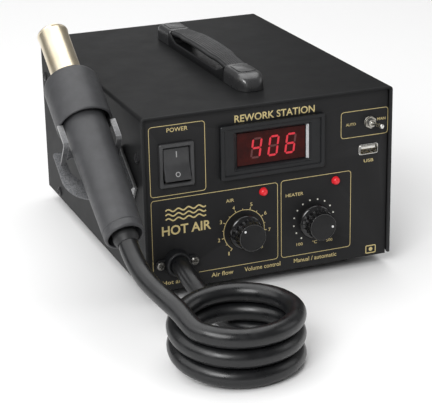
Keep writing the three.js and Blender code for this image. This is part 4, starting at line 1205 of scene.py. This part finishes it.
def heater():
    """A ceramic former with a wire helix wound in its grooves, inside the nozzle."""
    levels = [(7.6, 116.6, 1.2), (7.6, 166, 1.2), (6.6, 168, 0.8), (2, 168, 0)]
    former = skin([fluted(*level, 8, 8) for level in levels])
    pin = turned([(0, 116.5), (1.9, 116.5), (1.9, 171.5), (1.2, 172), (0, 172)], 24)
    solid = placed(together(former, pin), AXIS, AXIS_TURN)
    piece("heater_former", solid, "ceramic", "ceramic", "heater_core", body="handpiece")
    radius, start, length, turns, steps = 7.9, 120, 44, 14, 16
    path = []
    for k in range(turns * steps + 1):
        a = 2 * pi * k / steps
        point = Vector((radius * cos(a), radius * sin(a), start + length * k / (turns * steps)))
        path.append(AXIS + AXIS_TURN @ (point * MM))
    piece("heater_wire", tube(path, 0.4 * MM, 8), "heater_wire", "ceramic", body="handpiece", sharp=60)


# ---- Rear panel ----
def rear_fittings():
    where = on_face("mains_inlet", REAR_Y)
    shroud = rect_stack([
        (16, 12.3, 3, 0.3, 2.3), (15.6, 11.9, 2.8, 2.7), (12.5, 8.7, 2.9, 2.7),
        (12.1, 8.3, 2.7, 2.3, -12.7), (13.7, 10, 2.6, -12.7, 0.3),
    ])
    floor = rect_stack([(13.6, 9.9, 2.6, -15.7, -12.6)], wrap=False)
    inlet = placed(together(shroud, floor), where)
    piece("inlet_shroud", inlet, "switch_plastic", "black_plastic", "mains_inlet")
    pins = [box((x - 1, -13.5, z - 2), (x + 1, -0.8, z + 2), 0.3) for x, z in ((-7, -2), (0, 2), (7, -2))]
    piece("inlet_pins", placed(together(*pins), where), "nickel", "plating")

    collar = turned([(0, 0.3), (7.6, 0.3), (7.6, 3.6), (7.0, 4.3), (5.6, 4.3), (0, 4.3)], 48, soft=0.4)
    levels = [(5.3, 4, 0.4), (5.4, 8.4, 0.4), (4.9, 9, 0.2), (1.2, 9, 0)]
    grip = skin([fluted(*level, 24, 6) for level in levels])
    barrel = turned([(0, -25.7), (5, -25.7), (6, -24.5), (6, 0.5), (0, 0.5)], 32)
    fuse = placed(together(collar, grip, barrel), on_face("fuse_holder", REAR_Y), TO_REAR)
    piece("fuse_cap", fuse, "switch_plastic", "black_plastic", "fuse_holder")


# ---- Studio ----
def studio():
    mesh = bpy.data.meshes.new("floor")
    mesh.from_pydata([(-4, -4, 0), (4, -4, 0), (4, 4, 0), (-4, 4, 0)], [], [(0, 1, 2, 3)])
    floor = linked("floor", mesh)
    look = Look("studio_floor", (0.86, 0.86, 0.86), 0.65, Specular_IOR_Level=0.2)
    look.tint(look.noise(400, 2), 0.4, (0.84, 0.84, 0.84))
    mesh.materials.append(look.material)
    world = bpy.data.worlds.new("studio")
    world.use_nodes = True
    background = world.node_tree.nodes["Background"].inputs
    background["Color"].default_value = (1, 1, 1, 1)
    background["Strength"].default_value = 0.2
    bpy.context.scene.world = world
    bpy.context.scene.view_settings.view_transform = "Standard"
    target = centre("cover")
    lights = [  # name, place, width in metres, power in watts
        ("key", (-1.05, -1.2, 1.2), 0.9, 25),
        ("overhead", (0.1, 0.6, 2.6), 2.8, 56),
        ("side", (1.5, -0.6, 0.8), 0.9, 3),
        ("left", (-1.5, 0.0, 1.3), 1.5, 12),
        ("back", (0.44, 1.57, 0.75), 0.6, 1.1),
    ]
    for name, place, size, power in lights:
        data = bpy.data.lights.new(name, "AREA")
        data.size = size
        data.energy = power
        lamp = linked(name, data)
        lamp.location = place
        lamp.rotation_euler = (target - lamp.location).to_track_quat("-Z", "Y").to_euler()


for build in (camera, materials, hose, cover, feet, screws, handle_caps, handle_strap, handle_rail,
              power_switch, display, figures, toggle, usb_socket, lamps, dials, gland, panel_print,
              holder, handpiece, heater, rear_fittings, kept_nodes, studio):
    build()
